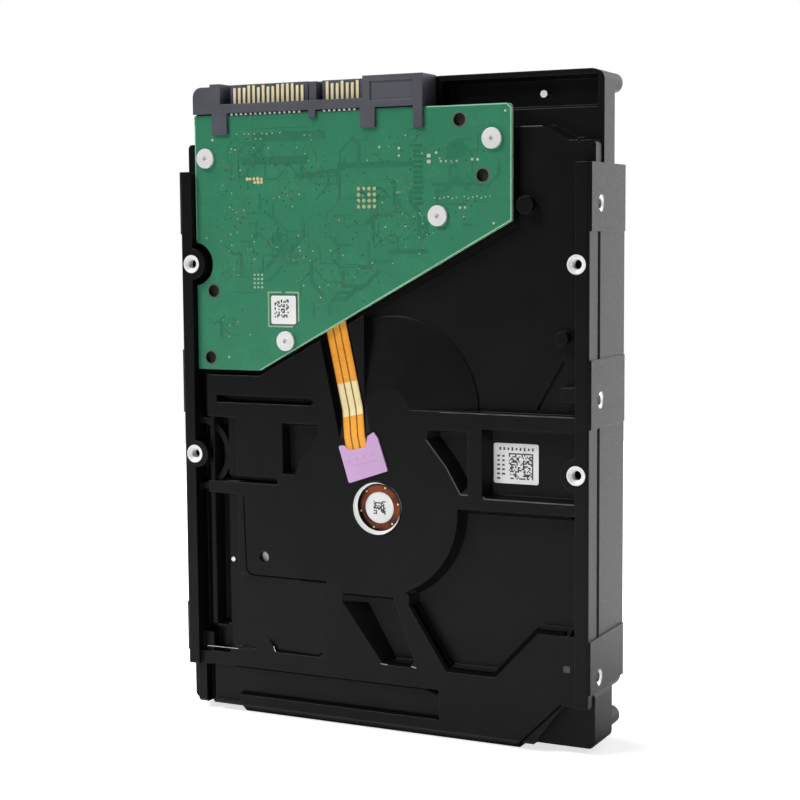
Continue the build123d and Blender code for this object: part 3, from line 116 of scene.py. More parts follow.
@dataclass(frozen=True)
class Finish:
    """One finish of the drive and how its surface varies.

    Attributes:
        color: Main colour, linear.
        tint: Second colour that broad patches drift to.
        metallic: Metallic of the shader.
        rough: Middle roughness.
        rough_span: How far roughness swings with the grain.
        grain: Size of the grain, in mm.
        relief: Height of the grain, in mm.
        pattern: How the grain runs.
        coat: Weight of a clear coat.
        wear: Colour of worn edges, or None where edges don't wear.
        soften: Radius that edges are rounded to in shading, in mm.
        specular: Specular level of the shader.
    """

    color: Color
    tint: Color
    metallic: float = 0.0
    rough: float = 0.5
    rough_span: float = 0.1
    grain: float = 1.0
    relief: float = 0.0
    pattern: Pattern = Pattern.EVEN
    coat: float = 0.0
    wear: Color | None = None
    soften: float = 0.0
    specular: float = 0.5


@dataclass(frozen=True)
class BoardFinish:
    """Solder-masked laminate: green faces over copper, and pale cut edges.

    Attributes:
        mask: Colour of the solder mask.
        patch: Level of its broad patches against the mask.
        tint: How much lighter the patches are on copper that shows through the mask.
        pours: Width of the copper patches of each layer, and their level against the mask.
        poured: Values of a patch's random number that fade from no copper to copper.
        edge: Colour of the cut edges.
        rough: Lowest and highest roughness.
        grain: Size of the grain.
        relief: Height of the grain.
    """

    mask: Color = (0.027, 0.218, 0.114)
    patch: float = 0.9
    tint: float = 0.08
    pours: tuple[Point, ...] = ((2.6, 0.90), (0.9, 0.93))
    poured: Point = (0.62, 0.72)
    edge: Color = (0.42, 0.62, 0.40)
    rough: Point = (0.3, 0.45)
    grain: float = 0.5
    relief: float = 0.003

    def shade(self, level: float) -> Color:
        """Gives the mask's colour at another level.

        Args:
            level: Level against the mask.

        Returns:
            The colour.
        """
        red, green, blue = self.mask
        return level * red, level * green, level * blue


@dataclass(frozen=True)
class FilmFinish:
    """Orange film of the motor's flex, with dark lines between its conductors.

    Attributes:
        film: Colour of the film.
        tint: Second colour that broad patches drift to.
        band: Colour of the bare band.
        edge: Colour along the edges.
        line: Colour of the lines between the conductors.
        line_fade: Distance from a line's middle where it starts to fade and where it ends.
        edge_width: How far the edges' colour reaches in.
        edge_share: How much of that colour shows at the very edge.
        rough: Lowest and highest roughness.
        grain: Size of the grain.
        relief: Depth of the lines.
    """

    film: Color = (0.86, 0.33, 0.022)
    tint: Color = (0.93, 0.42, 0.04)
    band: Color = (0.88, 0.78, 0.42)
    edge: Color = (0.50, 0.14, 0.008)
    line: Color = (0.27, 0.075, 0.006)
    line_fade: Point = (0.10, 0.24)
    edge_width: float = 0.4
    edge_share: float = 0.8
    rough: Point = (0.22, 0.4)
    grain: float = 0.6
    relief: float = 0.03


FINISHES: dict[str, Finish] = {
    "black_casting": Finish((0.0036, 0.0038, 0.0040), (0.0050, 0.0052, 0.0055), rough=0.36,
                            rough_span=0.05, grain=0.5, relief=0.0015, wear=(0.035, 0.035, 0.037),
                            soften=0.3, specular=0.15),
    # painted shade: near-black finish of the lines laid in the casting's crooks
    "painted_crease_shade": Finish((0.0012, 0.0012, 0.0013), (0.0020, 0.0020, 0.0022), rough=0.6, grain=0.4,
                           relief=0.002, specular=0.04),
    # painted highlight: light grey finish of the lines laid along the casting's edges
    "rubbed_paint": Finish((0.10, 0.10, 0.102), (0.045, 0.045, 0.047), rough=0.4, grain=0.25,
                           relief=0.002),
    "cover_sheet": Finish((0.40, 0.405, 0.41), (0.46, 0.465, 0.47), 1.0, 0.34, 0.1, 0.35, 0.004,
                          Pattern.BRUSHED, soften=0.25),
    "seal_rubber": Finish((0.02, 0.02, 0.021), (0.03, 0.03, 0.03), rough=0.8, grain=0.3, relief=0.01),
    "screw_steel": Finish((0.86, 0.86, 0.85), (0.80, 0.80, 0.80), 0.25, 0.42, 0.06, 0.3, 0.001,
                          Pattern.TURNED, soften=0.15),
    "machined_bright": Finish((0.90, 0.91, 0.92), (0.82, 0.83, 0.84), 0.55, 0.3, 0.06, 0.25, 0.001,
                              Pattern.TURNED, soften=0.1),
    "copper_ring": Finish((0.24, 0.060, 0.022), (0.060, 0.017, 0.010), 0.7, 0.24, 0.08, 0.25, 0.002,
                          Pattern.TURNED, soften=0.1),
    # painted glints: bright spots on the copper ring
    "painted_ring_glint": Finish((0.95, 0.80, 0.52), (0.90, 0.70, 0.40), 0.3, 0.3, grain=0.2, relief=0.002),
    "bore_white": Finish((0.90, 0.90, 0.89), (0.84, 0.84, 0.84), 0.1, 0.35, 0.06, 0.25, 0.001,
                         Pattern.TURNED),
    "worn_paint": Finish((0.060, 0.060, 0.062), (0.045, 0.045, 0.047), 0.2, 0.4, grain=0.4,
                         relief=0.002),
    # light grey finish of the painted glints on the casting's edges
    "painted_glint_grey": Finish((0.50, 0.50, 0.50), (0.34, 0.34, 0.35), 0.5, 0.35, grain=0.3, relief=0.002),
    "bearing_bronze": Finish((0.65, 0.45, 0.24), (0.5, 0.34, 0.18), 1.0, 0.32, 0.1, 0.25, 0.004,
                             Pattern.TURNED),
    "stator_steel": Finish((0.1, 0.105, 0.11), (0.16, 0.16, 0.165), 0.6, 0.45, 0.1, 0.3, 0.01),
    "copper_wire": Finish((0.7, 0.28, 0.1), (0.5, 0.18, 0.06), 0.9, 0.35, 0.1, 0.22, 0.03,
                          Pattern.TURNED),
    "polished_steel": Finish((0.78, 0.78, 0.8), (0.7, 0.7, 0.72), 1.0, 0.16, 0.06, 0.3, 0.002,
                             Pattern.BRUSHED),
    "hub_aluminium": Finish((0.8, 0.81, 0.82), (0.74, 0.75, 0.76), 1.0, 0.28, 0.1, 0.3, 0.004,
                            Pattern.TURNED, soften=0.15),
    "magnet_plating": Finish((0.62, 0.61, 0.59), (0.52, 0.52, 0.5), 1.0, 0.3, 0.12, 0.8, 0.004,
                             soften=0.15),
    "platter_mirror": Finish((0.84, 0.84, 0.86), (0.82, 0.83, 0.86), 1.0, 0.05, 0.03, 0.4, 0.0005,
                             Pattern.TURNED),
    "frame_plastic": Finish((0.05, 0.05, 0.055), (0.07, 0.07, 0.075), rough=0.5, grain=0.5, relief=0.01,
                            soften=0.15),
    "slider_ceramic": Finish((0.05, 0.05, 0.06), (0.08, 0.08, 0.09), rough=0.2, grain=0.1, relief=0.001,
                             coat=0.4),
    "yoke_plating": Finish((0.62, 0.62, 0.64), (0.55, 0.55, 0.57), 1.0, 0.33, 0.12, 0.9, 0.005,
                           Pattern.BRUSHED, soften=0.2),
    "ramp_plastic": Finish((0.78, 0.75, 0.68), (0.7, 0.67, 0.6), rough=0.4, grain=0.6, relief=0.006,
                           soften=0.1),
    "filter_white": Finish((0.85, 0.85, 0.83), (0.72, 0.72, 0.7), rough=0.95, grain=0.25, relief=0.12),
    "filter_case": Finish((0.12, 0.12, 0.12), (0.16, 0.16, 0.16), rough=0.55, grain=0.5, relief=0.01,
                          soften=0.2),
    "foam_black": Finish((0.02, 0.02, 0.022), (0.035, 0.035, 0.036), rough=0.95, grain=0.35,
                         relief=0.15),
    "chip_black": Finish((0.02, 0.02, 0.021), (0.028, 0.028, 0.03), rough=0.55, grain=0.2, relief=0.006,
                         soften=0.1),
    "component_tan": Finish((0.35, 0.25, 0.16), (0.5, 0.4, 0.28), rough=0.45, grain=0.6, relief=0.004,
                            soften=0.06),
    "connector_plastic": Finish((0.062, 0.062, 0.08), (0.078, 0.078, 0.098), rough=0.5, rough_span=0.1,
                                grain=0.45, relief=0.012, soften=0.15),
    "contact_gold": Finish((0.98, 0.90, 0.60), (0.95, 0.84, 0.50), 0.15, 0.3, 0.06, 0.3, 0.001,
                           Pattern.BRUSHED, soften=0.08),
    "solder_tin": Finish((0.88, 0.88, 0.86), (0.78, 0.79, 0.78), 0.2, 0.35, grain=0.3, relief=0.004,
                         soften=0.06),
    # black sheets of painted shade: in the motor's bore gap, in the board's holes and under the
    # connector
    "comb_shadow": Finish((0.008, 0.009, 0.010), (0.012, 0.013, 0.014), rough=0.7, grain=0.3,
                          relief=0.004),
    "patch_lilac": Finish((0.58, 0.35, 0.62), (0.63, 0.40, 0.67), rough=0.42, rough_span=0.12, grain=0.9,
                          relief=0.012, coat=0.25, soften=0.15),
    "label_white": Finish((0.86, 0.86, 0.85), (0.80, 0.80, 0.80), rough=0.55, grain=0.3, relief=0.002),
    "flex_plain": Finish((0.86, 0.33, 0.022), (0.93, 0.42, 0.04), rough=0.3, grain=0.6, relief=0.004),
    "via_tin": Finish((0.50, 0.60, 0.46), (0.34, 0.46, 0.34), 0.1, 0.4, 0.1, 0.4, 0.001),
    "via_copper": Finish((0.27, 0.16, 0.13), (0.13, 0.11, 0.08), 0.1, 0.45, 0.1, 0.4, 0.001),
    "via_dark": Finish((0.016, 0.034, 0.024), (0.030, 0.055, 0.036), rough=0.5, grain=0.4, relief=0.001),
    "ring_tin": Finish((0.09, 0.12, 0.09), (0.14, 0.15, 0.11), 0.2, 0.4, grain=0.3, relief=0.002),
    "pad_gold": Finish((0.86, 0.68, 0.34), (0.70, 0.58, 0.28), 0.3, 0.34, 0.1, 0.5, 0.002),
    "grid_gold": Finish((0.50, 0.52, 0.27), (0.40, 0.47, 0.25), 0.2, 0.36, 0.1, 0.5, 0.002),
    "bare_laminate": Finish((0.30, 0.62, 0.42), (0.24, 0.52, 0.34), rough=0.5, grain=0.4, relief=0.002),
    "print_pale": Finish((0.36, 0.52, 0.34), (0.28, 0.45, 0.28), rough=0.6, grain=0.3, relief=0.002),
    "print_dark": Finish((0.035, 0.035, 0.037), (0.08, 0.08, 0.08), rough=0.6, grain=0.2, relief=0.001),
    "print_blue": Finish((0.06, 0.17, 0.30), (0.07, 0.19, 0.33), rough=0.5, grain=0.3, relief=0.001),
}

BOARD = BoardFinish()
FILM = FilmFinish()


# ---------------------------------------------------------------------- node helpers
def feed(tree: Tree, node: Node, values: dict[str | int, Fed]) -> Node:
    """Feeds the inputs of a node.

    Args:
        tree: Tree that holds the node.
        node: The node.
        values: Plain value or socket for each input, by its name or number.

    Returns:
        The same node.
    """
    for key, value in values.items():
        if isinstance(value, Socket):
            tree.links.new(value, node.inputs[key])
        else:
            node.inputs[key].default_value = value
    return node


def add(tree: Tree, kind: str, values: dict[str | int, Fed] | None = None) -> Node:
    """Adds a node and feeds it.

    Args:
        tree: Tree that gets the node.
        kind: Type of the node, without its first word.
        values: Plain value or socket for each input, by its name or number.

    Returns:
        The node.
    """
    return feed(tree, tree.nodes.new(f"ShaderNode{kind}"), values or {})


def add_math(tree: Tree, operation: str, *values: Fed, kind: str = "Math") -> Socket:
    """Adds a Math or Vector Math node.

    Args:
        tree: Tree that gets the node.
        operation: What it works out.
        *values: Plain value or socket of each input, in order.
        kind: Type of the node.

    Returns:
        The socket of its result.
    """
    node = add(tree, kind, dict(enumerate(values)))
    node.operation = operation
    return next(socket for socket in node.outputs if socket.enabled)


def object_place(tree: Tree) -> Socket:
    """Gives the socket of the Object coordinates."""
    return add(tree, "TexCoord").outputs["Object"]


def split(tree: Tree, vector: Socket) -> Node:
    """Adds a node that parts a vector into X, Y and Z."""
    return add(tree, "SeparateXYZ", {"Vector": vector})


def spread(tree: Tree, value: Socket, old: Point, new: Point = (0.0, 1.0),
           smooth: bool = False) -> Socket:
    """Maps a value from one range to another, clamped.

    Args:
        tree: Tree that gets the node.
        value: The value.
        old: Ends of the range that it has.
        new: What those ends become.
        smooth: Whether it eases in and out.

    Returns:
        The socket with the mapped value.
    """
    node = add(tree, "MapRange", {"Value": value, "From Min": old[0], "From Max": old[1],
                                  "To Min": new[0], "To Max": new[1]})
    if smooth:
        node.interpolation_type = "SMOOTHSTEP"
    return node.outputs["Result"]


def blend(tree: Tree, factor: Socket, first: Fed, second: Fed) -> Socket:
    """Mixes two colours or two numbers by a mask.

    Args:
        tree: Tree that gets the node.
        factor: Mask from 0 to 1.
        first: Colour, number or socket where the mask is 0.
        second: Colour or number where the mask is 1, or a socket that carries a number.

    Returns:
        The socket with the result.
    """
    mix = tree.nodes.new("ShaderNodeMix")
    if isinstance(second, tuple):
        mix.data_type = "RGBA"
    ends = {"A": first, "B": second}
    solid = {key: (*end, 1.0) for key, end in ends.items() if isinstance(end, tuple)}
    return feed(tree, mix, {"Factor": factor, **ends, **solid}).outputs["Result"]


# ---------------------------------------------------------------------- shared node groups
class NodeGroups:
    """Effects that several materials share, each built once.

    Attributes:
        BROAD: Scale of the broad patches against that of the fine grain.
        WORN_TURN: Cosine of the turn of a rounded normal at which an edge is bare.
        grain: Group of fine grain and broad patches.
        rings: Group of turning marks.
        wear: Group of worn edges.
    """

    BROAD = 0.06
    WORN_TURN = 0.75

    def __init__(self) -> None:
        """Builds the groups."""
        self.grain = self._grain()
        self.rings = self._rings()
        self.wear = self._wear()

    @staticmethod
    def _new(name: str, inputs: Sequence[tuple[str, str, float | Sequence[float]]],
             outputs: Sequence[str]) -> Tree:
        """Makes an empty group with its sockets.

        Args:
            name: Name of the group.
            inputs: Name, socket type and default of each input.
            outputs: Name of each output, which all carry a number.

        Returns:
            The node tree, with a node named "in" and one named "out".
        """
        tree = bpy.data.node_groups.new(name, "ShaderNodeTree")
        for label, kind, default in inputs:
            socket = tree.interface.new_socket(name=label, in_out="INPUT", socket_type=kind)
            socket.default_value = default
        for label in outputs:
            tree.interface.new_socket(name=label, in_out="OUTPUT", socket_type="NodeSocketFloat")
        tree.nodes.new("NodeGroupInput").name = "in"
        tree.nodes.new("NodeGroupOutput").name = "out"
        return tree

    def _grain(self) -> Tree:
        """Group of fine grain and broad patches on Object coordinates.

        Returns:
            The node tree, with outputs Fine and Broad from 0 to 1.
        """
        tree = self._new("surface_grain", [("Scale", "NodeSocketFloat", 1000.0),
                                           ("Stretch", "NodeSocketVector", (1, 1, 1))],
                         ["Fine", "Broad"])
        given = tree.nodes["in"].outputs
        place = add_math(tree, "MULTIPLY", object_place(tree), given["Stretch"], kind="VectorMath")
        broad = add_math(tree, "MULTIPLY", given["Scale"], self.BROAD)
        for label, scale, detail in (("Fine", given["Scale"], 3.0), ("Broad", broad, 2.0)):
            noise = add(tree, "TexNoise", {"Vector": place, "Scale": scale, "Detail": detail})
            feed(tree, tree.nodes["out"], {label: noise.outputs["Fac"]})
        return tree

    def _rings(self) -> Tree:
        """Group of fine turning marks round an axis along Y.

        Returns:
            The node tree, with output Rings from 0 to 1.
        """
        tree = self._new("turning_rings", [("Centre", "NodeSocketVector", (0, 0, 0)),
                                           ("Pitch", "NodeSocketFloat", 0.0002)], ["Rings"])
        given = tree.nodes["in"].outputs
        shift = add_math(tree, "SUBTRACT", object_place(tree), given["Centre"], kind="VectorMath")
        flat = add_math(tree, "MULTIPLY", shift, (1, 0, 1), kind="VectorMath")
        reach = add_math(tree, "LENGTH", flat, kind="VectorMath")
        noise = add(tree, "TexNoise", {"Scale": 1.0, "Detail": 2.0})
        noise.noise_dimensions = "1D"
        feed(tree, noise, {"W": add_math(tree, "DIVIDE", reach, given["Pitch"])})
        feed(tree, tree.nodes["out"], {"Rings": noise.outputs["Fac"]})
        return tree

    def _wear(self) -> Tree:
        """Group that picks worn edges out of how far a rounded normal turns from the face.

        Returns:
            The node tree, with output Mask from 0 to 1.
        """
        tree = self._new("edge_wear",
                         [("Rounded", "NodeSocketVector", (0, 0, 1)), ("Grain", "NodeSocketFloat", 0.5)],
                         ["Mask"])
        given = tree.nodes["in"].outputs
        face = add(tree, "NewGeometry").outputs["True Normal"]
        turn = add_math(tree, "DOT_PRODUCT", given["Rounded"], face, kind="VectorMath")
        bare = spread(tree, turn, (1.0, self.WORN_TURN))
        feed(tree, tree.nodes["out"], {"Mask": add_math(tree, "MULTIPLY", bare, given["Grain"])})
        return tree


# ---------------------------------------------------------------------- materials
class FinishShop:
    """Makes the drive's materials from their finishes.

    Attributes:
        BRUSHED: Stretch of the grain of brushed metal, whose marks run along Z.
        PATCHES: Values of the broad noise that fade from a finish's colour to its tint.
        BOARD_PATCHES: The same for the board.
        GRAIN: Values of the fine noise that give the lowest and highest roughness.
        EDGE_NORMAL: Sizes of a normal's Y that fade from the board's cut edge to its face.
        SAMPLES: Samples of the rounded edges.
        groups: The shared node groups.
    """

    BRUSHED = (1.0, 1.0, 0.03)
    PATCHES: Point = (0.35, 0.65)
    BOARD_PATCHES: Point = (0.38, 0.62)
    GRAIN: Point = (0.3, 0.7)
    EDGE_NORMAL: Point = (0.4, 0.6)
    SAMPLES = 6

    def __init__(self) -> None:
        """Builds the shared groups."""
        self.groups = NodeGroups()
        self._made: dict[str, Material] = {}

    @staticmethod
    def blank(name: str) -> tuple[Material, Node]:
        """Starts a node material.

        Args:
            name: Name of the material.

        Returns:
            The material and its Principled node.
        """
        material = bpy.data.materials.new(name)
        material.use_nodes = True
        return material, material.node_tree.nodes["Principled BSDF"]

    @staticmethod
    def place_group(tree: Tree, group: Tree) -> Node:
        """Places a shared group in a material.

        Args:
            tree: The material's tree.
            group: The group's tree.

        Returns:
            The group node.
        """
        node = add(tree, "Group")
        node.node_tree = group
        return node

    def grained(self, tree: Tree, size: float) -> Node:
        """Places the group of grain in a material.

        Args:
            tree: The material's tree.
            size: Size of the grain.

        Returns:
            The group node.
        """
        return feed(tree, self.place_group(tree, self.groups.grain), {"Scale": 1.0 / (size * MM)})

    @staticmethod
    def raise_surface(tree: Tree, height: Socket, relief: float, shader: Node) -> Node:
        """Feeds a shader's normal from a height.

        Args:
            tree: The material's tree.
            height: Height from 0 to 1.
            relief: How far the surface rises.
            shader: The Principled node.

        Returns:
            The Bump node.
        """
        bump = add(tree, "Bump", {"Distance": relief * MM, "Height": height})
        feed(tree, shader, {"Normal": bump.outputs["Normal"]})
        return bump

    def get(self, slot: str, centre: Point | None = None) -> Material:
        """Gives the material of a finish, made on first use.

        Args:
            slot: Name of the finish, which is also the name of a slot where a node wears it.
            centre: X and Z of the axis that turning marks run round; the spindle's by default.

        Returns:
            The material.
        """
        key = slot if centre is None else f"{slot}_{centre[0]:.0f}_{centre[1]:.0f}"
        if key not in self._made:
            self._made[key] = self._build(f"{key}_finish", FINISHES[slot], centre or SPINDLE)
        return self._made[key]

    def _build(self, name: str, finish: Finish, centre: Point) -> Material:
        """Builds one material.

        Args:
            name: Name of the material.
            finish: Its finish.
            centre: X and Z of its turning marks.

        Returns:
            The material.
        """
        material, shader = self.blank(name)
        tree = material.node_tree
        grain = self.grained(tree, finish.grain)
        if finish.pattern is Pattern.BRUSHED:
            feed(tree, grain, {"Stretch": self.BRUSHED})
        fine = grain.outputs["Fine"]
        if finish.pattern is Pattern.TURNED:
            rings = feed(tree, self.place_group(tree, self.groups.rings),
                         {"Centre": (centre[0] * MM, 0, centre[1] * MM), "Pitch": finish.grain * MM})
            fine = rings.outputs["Rings"]
        color = blend(tree, spread(tree, grain.outputs["Broad"], self.PATCHES), finish.color,
                      finish.tint)
        rounded: dict[str, Fed] = {}
        if finish.soften > 0:
            bevel = add(tree, "Bevel", {"Radius": finish.soften * MM})
            bevel.samples = self.SAMPLES
            rounded = {"Normal": bevel.outputs["Normal"]}
            if finish.wear is not None:
                wear = feed(tree, self.place_group(tree, self.groups.wear),
                            {"Rounded": rounded["Normal"], "Grain": grain.outputs["Fine"]})
                color = blend(tree, wear.outputs["Mask"], color, finish.wear)
        swing = (finish.rough - finish.rough_span, finish.rough + finish.rough_span)
        feed(tree, shader, {
            "Metallic": finish.metallic, "Coat Weight": finish.coat,
            "Specular IOR Level": finish.specular,
            "Base Color": color, "Roughness": spread(tree, fine, self.GRAIN, swing), **rounded})
        if finish.relief > 0:
            feed(tree, self.raise_surface(tree, fine, finish.relief, shader), rounded)
        return material

    def board(self) -> Material:
        """Gives the board's solder-masked laminate, made on first use.

        Returns:
            The material.
        """
        if "board" in self._made:
            return self._made["board"]
        material, shader = self.blank("board_laminate")
        tree = material.node_tree
        grain = self.grained(tree, BOARD.grain)
        patches = spread(tree, grain.outputs["Broad"], self.BOARD_PATCHES)
        color = blend(tree, patches, BOARD.mask, BOARD.shade(BOARD.patch))
        for cell, level in BOARD.pours:
            color = blend(tree, self._pours(tree, cell), color, BOARD.shade(level))
        face = add(tree, "NewGeometry").outputs["True Normal"]
        upright = add_math(tree, "ABSOLUTE", split(tree, face).outputs["Y"])
        color = blend(tree, spread(tree, upright, self.EDGE_NORMAL, (1.0, 0.0)), color, BOARD.edge)
        rough = spread(tree, grain.outputs["Fine"], self.GRAIN, BOARD.rough)
        feed(tree, shader, {"Base Color": color, "Roughness": rough})
        self.raise_surface(tree, grain.outputs["Fine"], BOARD.relief, shader)
        self._made["board"] = material
        return material

    @staticmethod
    def _pours(tree: Tree, cell: float) -> Socket:
        """Square-edged patches of copper under the solder mask.

        Args:
            tree: Tree that gets the nodes.
            cell: Usual width of a patch.

        Returns:
            The socket of the mask, from 0 to 1.
        """
        cells = add(tree, "TexVoronoi", {"Vector": object_place(tree), "Scale": 1.0 / (cell * MM)})
        cells.distance = "CHEBYCHEV"
        shade = add(tree, "SeparateColor", {"Color": cells.outputs["Color"]})
        return spread(tree, shade.outputs["Red"], BOARD.poured)

    def masked_copper(self, name: str, level: float) -> Material:
        """Gives solder mask over copper, lighter or darker than the bare board.

        Args:
            name: Name of the material.
            level: How bright it is against the board.

        Returns:
            The material.
        """
        if name not in self._made:
            finish = Finish(BOARD.shade(level), BOARD.shade(level + BOARD.tint), rough=0.36, grain=0.5,
                            relief=0.002)
            self._made[name] = self._build(name, finish, SPINDLE)
        return self._made[name]


# ---------------------------------------------------------------------- mesh building
@dataclass(frozen=True)
class Grid:
    """Equal blocks in columns and rows.

    Attributes:
        first: X and Z of the first block's middle.
        pitch: Pitch across and up.
        count: Number of columns and rows.
        size: Width and height of a block.
        corner: Radius of its upright corners.
    """

    first: Point
    pitch: Point
    count: tuple[int, int]
    size: Point
    corner: float = 0.0


class Sculpt:
    """A mesh under construction, with depths along Y.

    Attributes:
        LIFT: Step of the hair of height that sets crossing blocks apart.
        LIFTS: Number of such heights.
        OVERLAP: How much longer a stretch of a line is than the way between its points, in widths.
        CORNER: Segments of a round corner.
        RING: Segments of a crescent's circles.
        MERGE: Distance at which points become one.
        mesh: The mesh.
    """

    LIFT = 0.0004
    LIFTS = 59
    OVERLAP = 0.6
    CORNER = 4
    RING = 64
    MERGE = 1e-5

    def __init__(self) -> None:
        """Starts an empty mesh."""
        self.mesh = bmesh.new()
        self._laid = 0

    def _lift(self) -> float:
        """Gives each block a hair more height than the last, so that crossing blocks share no plane."""
        self._laid += 1
        return self.LIFT * (self._laid % self.LIFTS)

    def block(self, x: float, z: float, wide: float, tall: float, near: float, far: float,
              turn: float = 0.0, corner: float = 0.0) -> None:
        """Adds a flat block, with round corners if asked.

        Args:
            x: Middle across the drive.
            z: Middle up the drive.
            wide: Width before it is turned.
            tall: Height before it is turned.
            near: Y of its near face.
            far: Y of its far face.
            turn: Turn in the X-Z plane, in degrees.
            corner: Radius of its upright corners.
        """
        near -= self._lift()
        place = (Matrix.Translation((x, (near + far) / 2, z))
                 @ Matrix.Rotation(math.radians(-turn), 4, "Y")
                 @ Matrix.Diagonal((wide, far - near, tall, 1)))
        made = bmesh.ops.create_cube(self.mesh, size=1.0, matrix=place)
        if corner > 0:
            uprights = [edge for edge in {edge for vert in made["verts"] for edge in vert.link_edges}
                        if abs(edge.verts[0].co.y - edge.verts[1].co.y) > 0.5 * (far - near)]
            bmesh.ops.bevel(self.mesh, geom=uprights, offset=corner, segments=self.CORNER, profile=0.5,
                            affect="EDGES", material=-1)

    def grid(self, grid: Grid, near: float, far: float) -> None:
        """Adds equal blocks in columns and rows.

        Args:
            grid: Their grid.
            near: Y of the near faces.
            far: Y of the far faces.
        """
        (x, z), (across, up) = grid.first, grid.pitch
        for i in range(grid.count[0]):
            for j in range(grid.count[1]):
                self.block(x + across * i, z + up * j, *grid.size, near, far, corner=grid.corner)

    def puck(self, x: float, z: float, radius: float, near: float, far: float, sides: int = 24) -> None:
        """Adds a round block.

        Args:
            x: Middle across the drive.
            z: Middle up the drive.
            radius: Radius.
            near: Y of its near face.
            far: Y of its far face.
            sides: Sides of its outline.
        """
        near -= self._lift()
        place = Matrix.Translation((x, (near + far) / 2, z)) @ Matrix.Rotation(math.pi / 2, 4, "X")
        bmesh.ops.create_cone(self.mesh, cap_ends=True, segments=sides, radius1=radius, radius2=radius,
                              depth=far - near, matrix=place)

    def stroke(self, points: Sequence[Point], width: float, near: float, far: float) -> None:
        """Adds a flat line of blocks that overlap at each bend.

        Args:
            points: X and Z of its points.
            width: Width of the line.
            near: Y of its near face.
            far: Y of its far face.
        """
        for (x0, z0), (x1, z1) in zip(points, points[1:]):
            length = math.hypot(x1 - x0, z1 - z0)
            turn = math.degrees(math.atan2(z1 - z0, x1 - x0))
            self.block((x0 + x1) / 2, (z0 + z1) / 2, length + self.OVERLAP * width, width, near, far,
                       turn)

    def frame(self, box: Rect, width: float, near: float, far: float) -> None:
        """Adds the outline of a rectangle.

        Args:
            box: Left, bottom, right and top of the line's middle.
            width: Width of the line.
            near: Y of its near face.
            far: Y of its far face.
        """
        left, bottom, right, top = box
        self.stroke([(left, bottom), (left, top), (right, top), (right, bottom), (left, bottom)],
                    width, near, far)

    def lathe(self, profile: Sequence[Point], axis_at: Vector, along: Vector, steps: int = 48,
              closed: bool = True) -> None:
        """Turns a profile round an axis.

        Args:
            profile: Radius and distance along the axis of each point.
            axis_at: Point on the axis that distances count from.
            along: Direction of the axis.
            steps: Steps of the full turn.
            closed: Whether the profile's last point joins its first.
        """
        side = along.orthogonal().normalized()
        verts = [self.mesh.verts.new(axis_at + side * radius + along * reach)
                 for radius, reach in profile]
        pairs = list(zip(verts, verts[1:]))
        if closed:
            pairs.append((verts[-1], verts[0]))
        edges = [self.mesh.edges.new(pair) for pair in pairs]
        bmesh.ops.spin(self.mesh, geom=verts + edges, cent=axis_at, axis=along, angle=2 * math.pi,
                       steps=steps, use_merge=True)

    def crescent(self, outer: Vector, outer_radius: float, inner: Vector, inner_radius: float,
                 thick: float = 0.06) -> None:
        """Adds a sheet between two circles that need not share a centre.

        Args:
            outer: Centre of the outer circle.
            outer_radius: Its radius.
            inner: Centre of the inner circle.
            inner_radius: Its radius.
            thick: Thickness of the sheet.
        """
        loops: list[bmesh.types.BMEdge] = []
        for centre, radius in ((outer, outer_radius), (inner, inner_radius)):
            place = Matrix.Translation(centre) @ Matrix.Rotation(math.pi / 2, 4, "X")
            made = bmesh.ops.create_circle(self.mesh, segments=self.RING, radius=radius, matrix=place)
            loops += list({edge for vert in made["verts"] for edge in vert.link_edges})
        sheet = bmesh.ops.bridge_loops(self.mesh, edges=loops)
        bmesh.ops.solidify(self.mesh, geom=sheet["faces"], thickness=thick)

    def cast(self, name: str, material: Material, smooth: float | None = 35.0) -> bpy.types.Object:
        """Closes the mesh and makes an object of it.

        Args:
            name: Name of the piece.
            material: Its material.
            smooth: Largest angle, in degrees, that is shaded smooth, or None for flat faces.

        Returns:
            The object, which doesn't ride on a body yet.
        """
        bmesh.ops.remove_doubles(self.mesh, verts=self.mesh.verts, dist=self.MERGE)
        bmesh.ops.scale(self.mesh, vec=(MM, MM, MM), verts=self.mesh.verts)
        bmesh.ops.recalc_face_normals(self.mesh, faces=self.mesh.faces)
        for edge in self.mesh.edges:
            if smooth is not None and len(edge.link_faces) == 2:
                edge.smooth = edge.calc_face_angle(math.pi) < math.radians(smooth)
        for face in self.mesh.faces:
            face.smooth = smooth is not None
        data = bpy.data.meshes.new(name)
        self.mesh.to_mesh(data)
        self.mesh.free()
        data.materials.append(material)
        piece = bpy.data.objects.new(name, data)
        bpy.context.scene.collection.objects.link(piece)
        return piece

    def finish(self, name: str, material: Material, slot: str,
               body: Body = Body.BASE) -> bpy.types.Object:
        """Makes the piece and lets it ride on its body.

        Args:
            name: Name of the piece.
            material: Its material.
            slot: Material slot of the record; not used.
            body: Body that it rides on.

        Returns:
            The piece.
        """
        piece = self.cast(name, material)
        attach(piece, body.value)
        LOG.info("piece %s: %d faces on %s", name, len(piece.data.polygons), body.value)
        return piece


def edges_of(node: str) -> tuple[Vector, Vector]:
    """Lowest and highest corner of a CAD node.

    Args:
        node: Name of the node.

    Returns:
        Both corners.
    """
    low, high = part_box(node)
    return low / MM, high / MM


def middle_of(node: str) -> Vector:
    """Middle of a CAD node's box.

    Args:
        node: Name of the node.

    Returns:
        The point.
    """
    low, high = edges_of(node)
    return (low + high) / 2


# ---------------------------------------------------------------------- sub-assemblies
@dataclass(frozen=True)
class Hole:
    """One mounting hole.

    Attributes:
        mouth: Middle of its mouth.
        inwards: Direction into the casting.
        deep: Depth of its thread.
    """

    mouth: Vector
    inwards: Vector
    deep: float

    @property
    def facing(self) -> bool:
        """Whether it opens in the mounting face."""
        return abs(self.inwards.y) > 0.5


